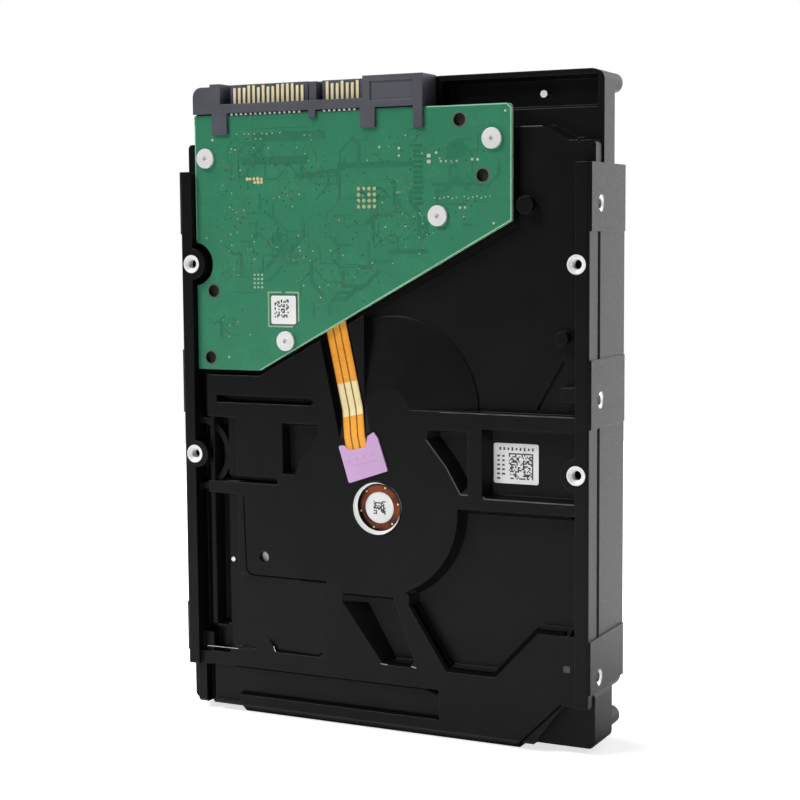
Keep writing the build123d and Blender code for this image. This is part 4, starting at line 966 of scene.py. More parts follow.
@dataclass
class CastBase:
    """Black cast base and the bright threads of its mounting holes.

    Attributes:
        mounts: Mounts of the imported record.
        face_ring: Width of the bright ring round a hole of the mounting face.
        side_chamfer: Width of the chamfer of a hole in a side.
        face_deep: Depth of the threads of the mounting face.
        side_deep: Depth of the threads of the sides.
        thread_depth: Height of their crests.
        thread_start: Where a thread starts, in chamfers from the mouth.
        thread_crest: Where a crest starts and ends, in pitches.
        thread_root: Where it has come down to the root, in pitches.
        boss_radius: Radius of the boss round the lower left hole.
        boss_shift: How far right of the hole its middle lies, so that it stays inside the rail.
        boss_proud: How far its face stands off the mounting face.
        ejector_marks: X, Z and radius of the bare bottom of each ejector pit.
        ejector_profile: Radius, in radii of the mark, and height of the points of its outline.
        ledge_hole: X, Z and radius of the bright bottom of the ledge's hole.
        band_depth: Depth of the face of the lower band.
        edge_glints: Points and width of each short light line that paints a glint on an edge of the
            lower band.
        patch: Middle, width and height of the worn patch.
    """

    shop: FinishShop
    mounts: list[dict]
    screw_radius: float = 1.75
    face_ring: float = 0.36
    side_chamfer: float = 0.12
    face_deep: float = 3.2
    side_deep: float = 2.2
    thread_pitch: float = 0.79
    thread_depth: float = 0.7
    thread_start: float = 0.6
    thread_crest: Point = (0.35, 0.5)
    thread_root: float = 0.92
    thread_steps: int = 40
    boss_radius: float = 3.05
    boss_shift: float = 0.55
    boss_height: float = 4.82
    boss_proud: float = 0.3 * SKIN
    ejector_marks: tuple[tuple[float, float, float], ...] = ((-38.9, 36.4, 0.62), (-29.7, 37.8, 1.26))
    ejector_depth: float = 2.5
    ejector_profile: tuple[Point, ...] = (
        (0.0, 0.0), (1.0, 0.0), (1.0, 0.10), (0.8, 0.16), (0.35, 0.10), (0.0, 0.10))
    ejector_steps: int = 32
    ledge_hole: tuple[float, float, float] = (36.9, 141.9, 0.78)
    ledge_hole_depth: float = 8.6
    ledge_hole_thick: float = 0.2
    band_depth: float = 1.0
    # short light lines that paint glints on the lower band's edges
    edge_glints: tuple[tuple[tuple[Point, ...], float], ...] = (
        (((-45.6, 15.3), (-41.0, 15.35), (-37.2, 15.4)), 0.16),
        (((-27.4, 16.9), (-27.2, 16.2), (-26.9, 15.75)), 0.2),
        (((0.6, 15.75), (2.2, 15.7)), 0.16),
        (((8.3, 15.9), (9.4, 15.72)), 0.2),
    )
    patch: Rect = (45.3, 19.2, 1.5, 1.4)
    patch_corner: float = 0.3

    def holes(self) -> list[Hole]:
        """Lists every mounting hole of the record."""
        low, high = edges_of("base_casting")
        holes = []
        for mount in self.mounts:
            at = Vector(mount["pos_m"]) / MM
            if mount["kind"] == "bolt_pattern" and mount["axis"][1]:
                half_x = mount["dims"]["spacing_x_mm"] / 2
                half_z = mount["dims"]["spacing_y_mm"] / 2
                holes += [Hole(Vector((at.x + i * half_x, at.y, at.z + j * half_z)), Vector((0, 1, 0)),
                               self.face_deep)
                          for i in (-1, 1) for j in (-1, 1)]
            elif mount["kind"] == "threaded_hole":
                side = math.copysign(1, mount["axis"][0])
                mouth = high.x if side > 0 else low.x
                holes.append(Hole(Vector((mouth, at.y, at.z)), Vector((-side, 0, 0)), self.side_deep))
        return holes

    def build(self) -> None:
        """Lines the holes and adds what is bare or bright on the casting, with painted glints on the
        lower band's edges.
        """
        for hole in self.holes():
            self._lining(hole)
        self._hole_boss()
        self._bright_marks()
        self._paint_edge_glints()

    def _lining(self, hole: Hole) -> None:
        """Makes the cut thread of one hole, with its bright ring or chamfer.

        Args:
            hole: The hole.
        """
        outer = self.screw_radius - HAIR
        crest = outer - self.thread_depth
        chamfer = self.face_ring if hole.facing else self.side_chamfer
        start = chamfer * self.thread_start
        profile = [(outer + chamfer, -SKIN), (outer, -SKIN if hole.facing else start)]
        turns = int((hole.deep - chamfer) / self.thread_pitch)
        for turn in range(turns):
            root = start + turn * self.thread_pitch
            profile += [(crest, root + share * self.thread_pitch) for share in self.thread_crest]
            profile.append((outer, root + self.thread_root * self.thread_pitch))
        profile.append((outer, start + turns * self.thread_pitch))
        sculpt = Sculpt()
        sculpt.lathe(profile, hole.mouth, hole.inwards, steps=self.thread_steps, closed=False)
        x, z = hole.mouth.x, hole.mouth.z
        name = f"thread_{'face' if hole.facing else 'side'}_{x:.0f}_{z:.0f}".replace("-", "m")
        bore = "bore_white" if hole.facing else "machined_bright"
        sculpt.finish(name, self.shop.get(bore, (x, z)), "machined_bright")

    def _hole_boss(self) -> None:
        """Black boss that stands in the left channel round the lower left mounting hole."""
        mouths = [hole.mouth for hole in self.holes() if hole.facing]
        mouth = min(mouths, key=lambda at: (at.x > 0, at.z))
        face = Vector((mouth.x, mouth.y - self.boss_proud, mouth.z))
        sculpt = Sculpt()
        sculpt.crescent(face + Vector((self.boss_shift, 0, 0)), self.boss_radius, face,
                        self.screw_radius + HAIR, thick=self.boss_height)
        nearest = min(vert.co.y for vert in sculpt.mesh.verts)
        bmesh.ops.translate(sculpt.mesh, vec=(0, face.y - nearest, 0), verts=sculpt.mesh.verts)
        sculpt.finish("hole_boss", self.shop.get("black_casting"), "black_casting")

    def _bright_marks(self) -> None:
        """Bare metal at the bottom of the ejector pits and in the ledge's hole."""
        front = edges_of("base_casting")[0].y
        sculpt = Sculpt()
        for x, z, radius in self.ejector_marks:
            profile = [(radius * share, height) for share, height in self.ejector_profile]
            sculpt.lathe(profile, Vector((x, front + self.ejector_depth, z)), Vector((0, -1, 0)),
                         steps=self.ejector_steps, closed=False)
        bottom = front + self.ledge_hole_depth
        sculpt.puck(*self.ledge_hole, bottom, bottom + self.ledge_hole_thick)
        turned_round = self.ejector_marks[-1][:2]
        sculpt.finish("bare_metal_marks", self.shop.get("bore_white", turned_round), "machined_bright")

    def _paint_edge_glints(self) -> None:
        """Light lines that paint glints on the edges of the lower band, and one small worn patch."""
        face = edges_of("base_casting")[0].y + self.band_depth
        sculpt = Sculpt()
        # each stroke is a painted glint on an edge
        for points, width in self.edge_glints:
            sculpt.stroke(points, width, face - SKIN, face)
        sculpt.finish("painted_edge_glints", self.shop.get("painted_glint_grey"), "black_casting")
        patch = Sculpt()
        patch.block(*self.patch, face - SKIN, face, corner=self.patch_corner)
        patch.finish("worn_patch", self.shop.get("worn_paint"), "black_casting")


@dataclass(frozen=True)
class StepLine:
    """A line along one of the casting's steps.

    Attributes:
        points: X and Z of its points.
        near: Depth of its near face from the mounting face.
        far: Depth of its far face.
    """

    points: tuple[Point, ...]
    width: float
    near: float
    far: float


@dataclass
class StepLines:
    """Painted shade in the crooks of the casting's low steps, and painted highlights on the edges beside
    them.

    Attributes:
        steps: The near-black lines of painted shade in the crooks.
        highlight_lines: The light grey lines of painted highlight along the edges.
    """

    shop: FinishShop
    # lines of painted shade in the crooks of the steps
    steps: tuple[StepLine, ...] = (
        StepLine(((-35.0, 51.6), (-34.8, 45.0), (-34.5, 34.9), (-33.7, 33.6), (-32.6, 33.35),
                  (-16.0, 33.35)), 0.36, 0.98, 2.2),
        StepLine(((-20.0, 33.3), (-13.4, 33.25)), 0.55, 0.98, 1.6),
        StepLine(((-26.6, 15.85), (-15.6, 15.85), (-14.6, 16.6)), 0.42, 1.02, 2.1),
        StepLine(((17.2, 16.0), (28.4, 16.0), (38.4, 26.7), (44.6, 26.7)), 0.8, 1.04, 2.6),
        StepLine(((17.1, 16.2), (8.6, 29.4)), 0.5, 1.04, 2.6),
        StepLine(((-37.9, 11.2), (-2.0, 11.2), (11.5, 11.2), (14.2, 10.4)), 0.42, 1.02, 2.0),
        StepLine(((-36.4, 4.75), (-1.0, 4.75), (14.6, 4.75)), 0.42, 1.02, 2.0),
        StepLine(((34.6, 1.8), (43.9, 11.1)), 0.5, 0.98, 1.4),
        StepLine(((-9.0, 31.0), (3.4, 31.0)), 0.5, 1.04, 1.6),
        StepLine(((1.5, 15.95), (7.9, 15.95), (8.7, 17.2)), 0.5, 1.04, 2.4),
    )
    # lines of painted highlight along the ribs' edges
    highlight_lines: tuple[StepLine, ...] = (
        StepLine(((15.6, 73.40), (24.6, 73.44)), 0.16, 0.98, 1.2),
        StepLine(((24.6, 73.44), (46.8, 73.42)), 0.24, 0.98, 1.2),
        StepLine(((25.9, 55.3), (26.3, 54.86), (46.8, 54.86)), 0.24, 0.98, 1.2),
        StepLine(((12.2, 67.2), (17.05, 61.3), (20.4, 55.5), (22.1, 55.42)), 0.22, 0.98, 1.2),
    )

    def build(self) -> None:
        """Lays the painted shade along every step and the painted highlights along the edges beside it.
        """
        front = edges_of("base_casting")[0].y
        for name, finish, lines in (("painted_crease_shade_lines", "painted_crease_shade", self.steps),
                                    ("painted_edge_highlights", "rubbed_paint", self.highlight_lines)):
            sculpt = Sculpt()
            for line in lines:
                sculpt.stroke(line.points, line.width, front + line.near, front + line.far)
            sculpt.finish(name, self.shop.get(finish), "black_casting")


@dataclass
class MotorMouth:
    """Mouth of the motor's bore: painted rim set off the axis so that it darkens one side of the lip
    (painted shade), a bright crescent on the lip that is a painted highlight, a black sheet in the gap
    that is painted shade, and bright spots on the copper ring that are painted glints.

    Attributes:
        rim_shift: How far the rim's middle lies from the spindle's axis, so that it covers the lip on
            one side, which paints that side dark.
        rim_radius: Inner radius of the rim.
        rim_profile: How far each point of its outline lies from that radius, and its height.
        lip_shift: How far the middle of the inner circle of the lip's painted highlight lies from the
            axis, so that the highlight is wide on one side and thin on the other.
        lip_radius: Radius of that circle.
        lip_depths: Depth of the highlight's outer and inner circle.
        gap_inner: Inner radius of the wall of the black sheet that paints the shade in the gap.
        gap_height: Height of that wall.
        gap_floor: Thickness of the gap's floor.
        gap_reach: How far the floor stays off the copper ring.
        glint_reach: Distance of a painted glint from the axis.
        glint_start: Angle of the first painted glint, in degrees.
    """

    shop: FinishShop
    steps: int = 64
    rim_shift: Point = (-0.15, -0.08)
    rim_radius: float = 5.91
    rim_profile: tuple[Point, ...] = ((0.0, 0.0), (0.0, 0.05), (0.27, 0.05), (0.42, -0.09),
                                      (0.14, -0.09))
    bore_radius: float = 5.79
    lip_shift: Point = (0.33, 0.21)
    lip_radius: float = 5.40
    lip_depths: Point = (0.14, 0.30)
    gap_inner: float = 5.75
    gap_height: float = 0.86
    gap_floor: float = 0.03
    gap_reach: float = 0.03
    glints: int = 6
    glint_reach: float = 4.74
    glint_start: float = 12.0
    glint_radius: float = 0.24
    glint_height: float = 0.05
    glint_sides: int = 10

    def build(self) -> None:
        """Dresses the mouth round the spindle's axis."""
        middle = middle_of("thrust_plate")
        self._rim_and_lip(Vector((middle.x, edges_of("motor_bracket")[0].y, middle.z)))
        self._gap(Vector((middle.x, edges_of("thrust_plate")[0].y, middle.z)))
        self._paint_glints(Vector((middle.x, edges_of("thrust_seal_ring")[0].y, middle.z)))

    def _rim_and_lip(self, mouth: Vector) -> None:
        """Adds the painted rim and, inside it, a bright crescent that paints the highlight on the lip.

        Args:
            mouth: Middle of the bracket's face.
        """
        paint = Sculpt()
        # the rim sits off the axis so that it covers the lip on one side, which paints that side dark
        profile = [(self.rim_radius + away, height) for away, height in self.rim_profile]
        paint.lathe(profile, mouth + Vector((self.rim_shift[0], 0, self.rim_shift[1])),
                    Vector((0, -1, 0)), steps=self.steps)
        paint.finish("motor_rim_paint", self.shop.get("black_casting"), "black_casting")
        # bright crescent, wider on one side: painted highlight on the lip
        lip = Sculpt()
        outer, inner = self.lip_depths
        lip.crescent(mouth + Vector((0, outer, 0)), self.bore_radius,
                     mouth + Vector((self.lip_shift[0], inner, self.lip_shift[1])), self.lip_radius)
        lip.finish("motor_bore_painted_highlight", self.shop.get("bore_white"), "machined_bright")

    def _gap(self, bottom: Vector) -> None:
        """Adds a black sheet that paints the shade in the gap between the bracket and the copper ring.

        Args:
            bottom: Middle of the thrust plate's face.
        """
        low, high = edges_of("thrust_seal_ring")
        inside = (high.x - low.x) / 2 + self.gap_reach
        # black sheet in the gap: painted shade
        gap = Sculpt()
        gap.lathe([(self.bore_radius, 0.0), (self.bore_radius, self.gap_height),
                   (self.gap_inner, self.gap_height), (self.gap_inner, self.gap_floor),
                   (inside, self.gap_floor), (inside, 0.0)], bottom, Vector((0, -1, 0)),
                  steps=self.steps)
        gap.finish("motor_bore_painted_shade", self.shop.get("comb_shadow"), "seal_rubber")

    def _paint_glints(self, ring: Vector) -> None:
        """Adds bright spots that paint glints on the copper ring.

        Args:
            ring: Middle of the ring's face.
        """
        # bright spots on the copper ring: painted glints
        spots = Sculpt()
        for turn in range(self.glints):
            angle = math.radians(self.glint_start + 360 * turn / self.glints)
            spots.puck(ring.x + self.glint_reach * math.cos(angle),
                       ring.z + self.glint_reach * math.sin(angle), self.glint_radius,
                       ring.y - self.glint_height, ring.y, sides=self.glint_sides)
        spots.finish("motor_ring_painted_glints", self.shop.get("painted_ring_glint"), "copper_ring")


@dataclass
class ContactRow:
    """Gold contacts of one side of the connector, with their solder tails, and the comb: a black strip
    below them that paints the connector's shadow on the board.

    Attributes:
        node: CAD node of the plain contacts.
        first_mate: Contacts that reach further, counted from 0.
        pitch_width: Width of a plain contact, which the pitch is worked out with.
        length: Length of the long blades.
        step: How much shorter the others are.
        foot: Height of the tails' part of the node.
        tail_drop: How far below the board's edge the middle of a tail lies.
        tail_size: Width and height of a tail.
        shadow_drop: How far below the board's edge the middle of the black strip of painted shadow lies.
        shadow_over: How much wider than the row it is.
    """

    shop: FinishShop
    node: str
    count: int
    first_mate: tuple[int, ...]
    pitch_width: float = 0.9
    blade_width: float = 0.66
    blade_corner: float = 0.12
    length: float = 4.1
    step: float = 0.45
    thick: float = 0.25
    foot: float = 0.8
    tail_drop: float = 0.28
    tail_size: Point = (0.56, 0.44)
    tail_corner: float = 0.14
    shadow_drop: float = 0.27
    shadow_tall: float = 0.54
    shadow_over: float = 0.8
    shadow_thick: float = 0.06

    def build(self) -> None:
        """Replaces the plain contacts by stepped blades and rounded tails, and lays a black strip of
        painted shadow below them.
        """
        low, high = edges_of(self.node)
        pitch = (high.x - low.x - self.pitch_width) / (self.count - 1)
        root = high.z - self.length
        edge = low.z + self.foot
        back = low.y + self.thick
        blades, tails, comb = Sculpt(), Sculpt(), Sculpt()
        for turn in range(self.count):
            x = low.x + self.pitch_width / 2 + turn * pitch
            reach = self.length if turn in self.first_mate else self.length - self.step
            blades.block(x, root + reach / 2, self.blade_width, reach, high.y - self.thick, high.y,
                         corner=self.blade_corner)
            tails.block(x, edge - self.tail_drop, *self.tail_size, low.y - SKIN, back,
                        corner=self.tail_corner)
        # the comb is a black strip that paints the shadow under the connector's edge
        comb.block((low.x + high.x) / 2, edge - self.shadow_drop, high.x - low.x + self.shadow_over,
                   self.shadow_tall, back - self.shadow_thick, back)
        part = blades.finish(f"{self.node}_blades", self.shop.get("contact_gold"), "contact_gold")
        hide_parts(self.node)
        tails.finish(f"{self.node}_tails", self.shop.get("solder_tin"), "contact_gold")
        comb.finish(f"{self.node}_comb", self.shop.get("comb_shadow"), "connector_plastic")


@dataclass
class BoardPlace:
    """Where marks may lie on the circuit board.

    Attributes:
        slant: Two points of its slanted edge.
        top_strip: Width of the strip under the connector that stays free.
        notch: Middle and radius of the notch in its left edge.
        screws: Middles of its screws.
        screw_clear: Free radius round a screw.
        holes: Middles of its plated holes.
        hole_clear: Free radius round a hole.
        label: Left, bottom, right and top of the place of its label.
    """

    slant: tuple[Point, Point] = ((-30.4, 81.2), (32.4, 115.0))
    top_strip: float = 4.2
    notch: tuple[float, float, float] = (-47.6, 105.7, 5.0)
    screws: tuple[Point, ...] = ((-44.0, 130.0), (28.0, 132.5), (15.2, 116.2), (-23.2, 88.2))
    screw_clear: float = 3.2
    holes: tuple[Point, ...] = ((20.3, 136.7), (25.7, 124.7), (-42.5, 99.5), (-43.6, 84.0))
    hole_clear: float = 2.2
    label: Rect = (-28.2, 90.8, -19.4, 99.6)

    def __post_init__(self) -> None:
        """Reads the board's place from the frame."""
        self.low, self.high = edges_of("circuit_board")
        self.face = self.low.y

    def inside(self, x: float, z: float, margin: float = 1.2) -> bool:
        """Whether a place lies on the board, clear of its edges and holes.

        Args:
            x: Place across the drive.
            z: Place up the drive.
            margin: Least distance to the edge.

        Returns:
            True where a mark may go.
        """
        if not (self.low.x + margin < x < self.high.x - margin):
            return False
        (x0, z0), (x1, z1) = self.slant
        slope = Vector((x1 - x0, z1 - z0)).normalized()
        away = (z - z0) * slope.x - (x - x0) * slope.y
        if away < margin or not (self.low.z + margin < z < self.high.z - self.top_strip):
            return False
        notch_x, notch_z, notch_radius = self.notch
        if math.hypot(x - notch_x, z - notch_z) < notch_radius + margin:
            return False
        for places, clear in ((self.screws, self.screw_clear), (self.holes, self.hole_clear)):
            if any(math.hypot(x - a, z - b) < clear for a, b in places):
                return False
        left, bottom, right, top = self.label
        return not (left < x < right and bottom < z < top)


@dataclass
class BoardCopper:
    """Traces and pours that show through the board's solder mask.

    Attributes:
        seed: Seed of the random traces.
        level: Level of the copper against the bare board.
        proud: How far it stands off the board.
        pours: Left, bottom, right and top of each pour.
        outline: Points of the outline round one group of parts.
        chip: Middle, width and height of the pour under a chip.
        specks: Grid of small pours.
        traces: Number of traces that are tried.
        field: Left, bottom, right and top of the field where they start.
        reach: Least and greatest length of a stretch.
        bends: Greatest number of stretches of a trace.
        turns: Angles that a trace turns by, in degrees.
    """

    shop: FinishShop
    place: BoardPlace
    seed: int = 11
    level: float = 0.73
    proud: float = 0.6 * SKIN
    pours: tuple[Rect, ...] = (
        (-31.5, 133.4, -12.6, 135.6), (-9.5, 126.9, 9.6, 128.2), (-20.4, 125.0, -13.5, 126.3),
        (-34.4, 128.2, -17.0, 130.0), (13.6, 122.6, 26.2, 123.4), (2.8, 108.0, 12.8, 109.0))
    outline: tuple[Point, ...] = (
        (-31.5, 136.4), (-15.5, 136.4), (-15.5, 138.6), (-31.5, 138.6), (-31.5, 136.4))
    outline_width: float = 0.2
    chip: Rect = (19.4, 130.2, 4.4, 3.4)
    chip_corner: float = 0.6
    specks: Grid = Grid((-32.6, 129.9), (0.8, 0.75), (5, 5), (0.36, 0.34))
    traces: int = 130
    field: Rect = (-44.0, 84.0, 30.0, 134.0)
    widths: tuple[float, ...] = (0.25, 0.3, 0.4, 0.6, 0.9)
    reach: Point = (1.2, 5.5)
    bends: int = 4
    turns: tuple[int, ...] = (-45, 45, -90, 90)

    def build(self) -> None:
        """Lays the pours and the traces."""
        draw = random.Random(self.seed)
        near, far = self.place.face - self.proud, self.place.face
        dark = Sculpt()
        for x0, z0, x1, z1 in self.pours:
            dark.block((x0 + x1) / 2, (z0 + z1) / 2, x1 - x0, z1 - z0, near, far)
        dark.stroke(self.outline, self.outline_width, near, far)
        dark.block(*self.chip, near, far, corner=self.chip_corner)
        dark.grid(self.specks, near, far)
        for _ in range(self.traces):
            points, width = self._trace(draw)
            if all(self.place.inside(x, z) for x, z in points):
                dark.stroke(points, width, near, far)
        dark.finish("board_traces", self.shop.masked_copper("board_copper_dark", self.level),
                    "board_green")

    def _trace(self, draw: random.Random) -> tuple[list[Point], float]:
        """Draws one trace at random.

        Args:
            draw: Source of the random numbers.

        Returns:
            Its points and its width.
        """
        left, bottom, right, top = self.field
        x, z = draw.uniform(left, right), draw.uniform(bottom, top)
        width = draw.choice(self.widths)
        points = [(x, z)]
        angle = draw.choice((0, 90, 180, 270))
        for _ in range(draw.randint(1, self.bends)):
            reach = draw.uniform(*self.reach)
            x += reach * math.cos(math.radians(angle))
            z += reach * math.sin(math.radians(angle))
            points.append((x, z))
            angle += draw.choice(self.turns)
        return points, width


@dataclass
class BoardVias:
    """Plated vias of the board, in loose clusters.

    Attributes:
        seed: Seed of the random places.
        finishes: Finish of each kind of via.
        shares: Share of each kind.
        groups: Middles of the main clusters.
        loose: Number of further clusters at random places.
        field: Left, bottom, right and top of the field where these lie.
        crowd: Least and greatest number of vias of a cluster.
        scatter: Spread of a cluster across and up.
        radii: Least and greatest radius.
        row: First place of the row under the connector.
        row_gap: Step to the right of every third via.
        row_zigzag: Step up of every second via.
    """

    shop: FinishShop
    place: BoardPlace
    seed: int = 12
    finishes: tuple[str, ...] = ("tin", "copper", "dark")
    shares: tuple[float, ...] = (0.16, 0.44, 0.40)
    groups: tuple[Point, ...] = (
        (-32, 114), (-26, 112), (-18, 110), (-12, 112), (-8, 106), (-3, 103), (2, 110), (6, 115),
        (5, 124), (9, 133), (-30, 133), (-36, 120), (-16, 132), (-12, 124), (-36, 92), (-14, 98),
        (-36, 107), (-20, 104), (12, 112), (2, 130), (-24, 121), (18, 130), (22, 119), (-40, 113))
    loose: int = 16
    field: Rect = (-42.0, 88.0, 28.0, 134.0)
    crowd: tuple[int, int] = (15, 24)
    scatter: Point = (2.8, 2.6)
    radii: Point = (0.12, 0.2)
    sides: int = 6
    row: Point = (-35.6, 135.3)
    row_count: int = 16
    row_pitch: float = 0.78
    row_gap: float = 0.5
    row_zigzag: float = 0.25
    row_radius: float = 0.17

    def build(self) -> None:
        """Sets the clusters and the row."""
        draw = random.Random(self.seed)
        near, far = self.place.face - SKIN, self.place.face
        kinds = [Sculpt() for _ in self.finishes]
        left, bottom, right, top = self.field
        groups = list(self.groups)
        groups += [(draw.uniform(left, right), draw.uniform(bottom, top)) for _ in range(self.loose)]
        for middle_x, middle_z in groups:
            for _ in range(draw.randint(*self.crowd)):
                x, z = draw.gauss(middle_x, self.scatter[0]), draw.gauss(middle_z, self.scatter[1])
                kind = draw.choices(range(len(kinds)), self.shares)[0]
                if self.place.inside(x, z):
                    kinds[kind].puck(x, z, draw.uniform(*self.radii), near, far, sides=self.sides)
        for i in range(self.row_count):
            x = self.row[0] + self.row_pitch * i + (self.row_gap if i % 3 == 2 else 0.0)
            kinds[i % 2].puck(x, self.row[1] + self.row_zigzag * (i % 2), self.row_radius, near, far,
                              sides=self.sides)
        for sculpt, name in zip(kinds, self.finishes):
            sculpt.finish(f"board_vias_{name}", self.shop.get(f"via_{name}"), "contact_gold")


@dataclass
class BoardPads:
    """Bare pads of the board: gold grid, gold group, worn grid, tin pads and masked ladder.

    Attributes:
        grid_middle: Middle of the grid of round gold pads.
        grid_count: Number of its columns and of its rows.
        gold: Middles of the group of round gold pads.
        gold_radii: Radius of every third pad of it, and of the others.
        blocks: Middles of the square tin pads.
        block_size: Width and height of one.
        row: First place of the row of tin pads.
        steps: First place of the stepped row.
        step_gap_after: Last pad before the gap.
        step_rise: Rise from each pad to the next, over three pads.
        tin: Middles of the single tin pads.
        tin_edge: Least distance of a single pad from the right edge.
        ladder: The ladder's rungs.
        ladder_level: Level of the rungs against the bare board.
        proud: How far the pads stand off the board.
    """

    shop: FinishShop
    place: BoardPlace
    grid_middle: Point = (-2.3, 120.4)
    grid_pitch: float = 1.32
    grid_count: int = 4
    grid_radius: float = 0.44
    gold: tuple[Point, ...] = ((-33.0, 125.1), (-32.2, 125.1), (-31.2, 125.1), (-30.2, 125.1),
                               (-29.2, 125.0), (-31.0, 124.3), (-30.1, 124.3), (-29.2, 124.3))
    gold_radii: Point = (0.42, 0.36)
    worn: Grid = Grid((-31.4, 100.4), (1.0, 0.95), (3, 4), (0.5, 0.5), 0.12)
    blocks: tuple[Point, ...] = ((13.0, 127.9), (13.0, 129.2))
    block_size: Point = (0.9, 0.8)
    block_corner: float = 0.2
    row: Point = (15.9, 127.9)
    row_pitch: float = 1.25
    row_count: int = 4
    row_radius: float = 0.26
    steps: Point = (15.6, 119.9)
    step_count: int = 12
    step_pitch: float = 1.0
    step_gap: float = 0.8
    step_gap_after: int = 4
    step_rise: float = 0.2
    step_radius: float = 0.18
    tin: tuple[Point, ...] = ((20.4, 117.9), (21.6, 117.9), (23.3, 128.2), (24.6, 128.1), (14.8, 129.8),
                              (28.3, 114.5), (31.0, 138.2), (-42.2, 134.2), (-38.6, 84.2), (5.8, 131.0),
                              (5.8, 129.4), (1.0, 131.4))
    tin_radius: float = 0.3
    tin_edge: float = 0.6
    ladder: Grid = Grid((10.4, 118.9), (0.0, 1.14), (1, 12), (2.3, 0.6), 0.15)
    ladder_level: float = 0.66
    round_sides: int = 12
    row_sides: int = 10
    step_sides: int = 8
    proud: float = 1.5 * SKIN

    def build(self) -> None:
        """Adds every group of pads."""
        near, far = self.place.face - self.proud, self.place.face
        self._gold_and_worn(near, far)
        self._tin(near, far)
        ladder = Sculpt()
        ladder.grid(self.ladder, far - SKIN, far)
        ladder.finish("board_ladder", self.shop.masked_copper("board_copper_ladder", self.ladder_level),
                      "board_green")

    def _gold_and_worn(self, near: float, far: float) -> None:
        """Adds the gold grid, the gold group and the worn grid.

        Args:
            near: Y of the pads' faces.
            far: Y of the board's face.
        """
        gold, grid, worn = Sculpt(), Sculpt(), Sculpt()
        middle = (self.grid_count - 1) / 2
        for i in range(self.grid_count):
            for j in range(self.grid_count):
                grid.puck(self.grid_middle[0] + (i - middle) * self.grid_pitch,
                          self.grid_middle[1] + (j - middle) * self.grid_pitch,
                          self.grid_radius, near, far, sides=self.round_sides)
        third, other = self.gold_radii
        for i, (x, z) in enumerate(self.gold):
            gold.puck(x, z, other if i % 3 else third, near, far, sides=self.round_sides)
        worn.grid(self.worn, near, far)
        worn.finish("board_worn_pads", self.shop.get("print_pale"), "contact_gold")
        gold.finish("board_gold_pads", self.shop.get("pad_gold"), "contact_gold")
        grid.finish("board_grid_pads", self.shop.get("grid_gold"), "contact_gold")

    def _tin(self, near: float, far: float) -> None:
        """Adds the tinned pads.

        Args:
            near: Y of the pads' faces.
            far: Y of the board's face.
        """
        tin = Sculpt()
        for x, z in self.blocks:
            tin.block(x, z, *self.block_size, near, far, corner=self.block_corner)
        for i in range(self.row_count):
            tin.puck(self.row[0] + self.row_pitch * i, self.row[1], self.row_radius, near, far,
                     sides=self.row_sides)
        for i in range(self.step_count):
            gap = self.step_gap if i > self.step_gap_after else 0.0
            tin.puck(self.steps[0] + self.step_pitch * i + gap, self.steps[1] + self.step_rise * (i % 3),
                     self.step_radius, near, far, sides=self.step_sides)
        for x, z in self.tin:
            if self.place.low.x < x < self.place.high.x - self.tin_edge:
                tin.puck(x, z, self.tin_radius, near, far, sides=self.round_sides)
        tin.finish("board_tin_pads", self.shop.get("via_tin"), "contact_gold")


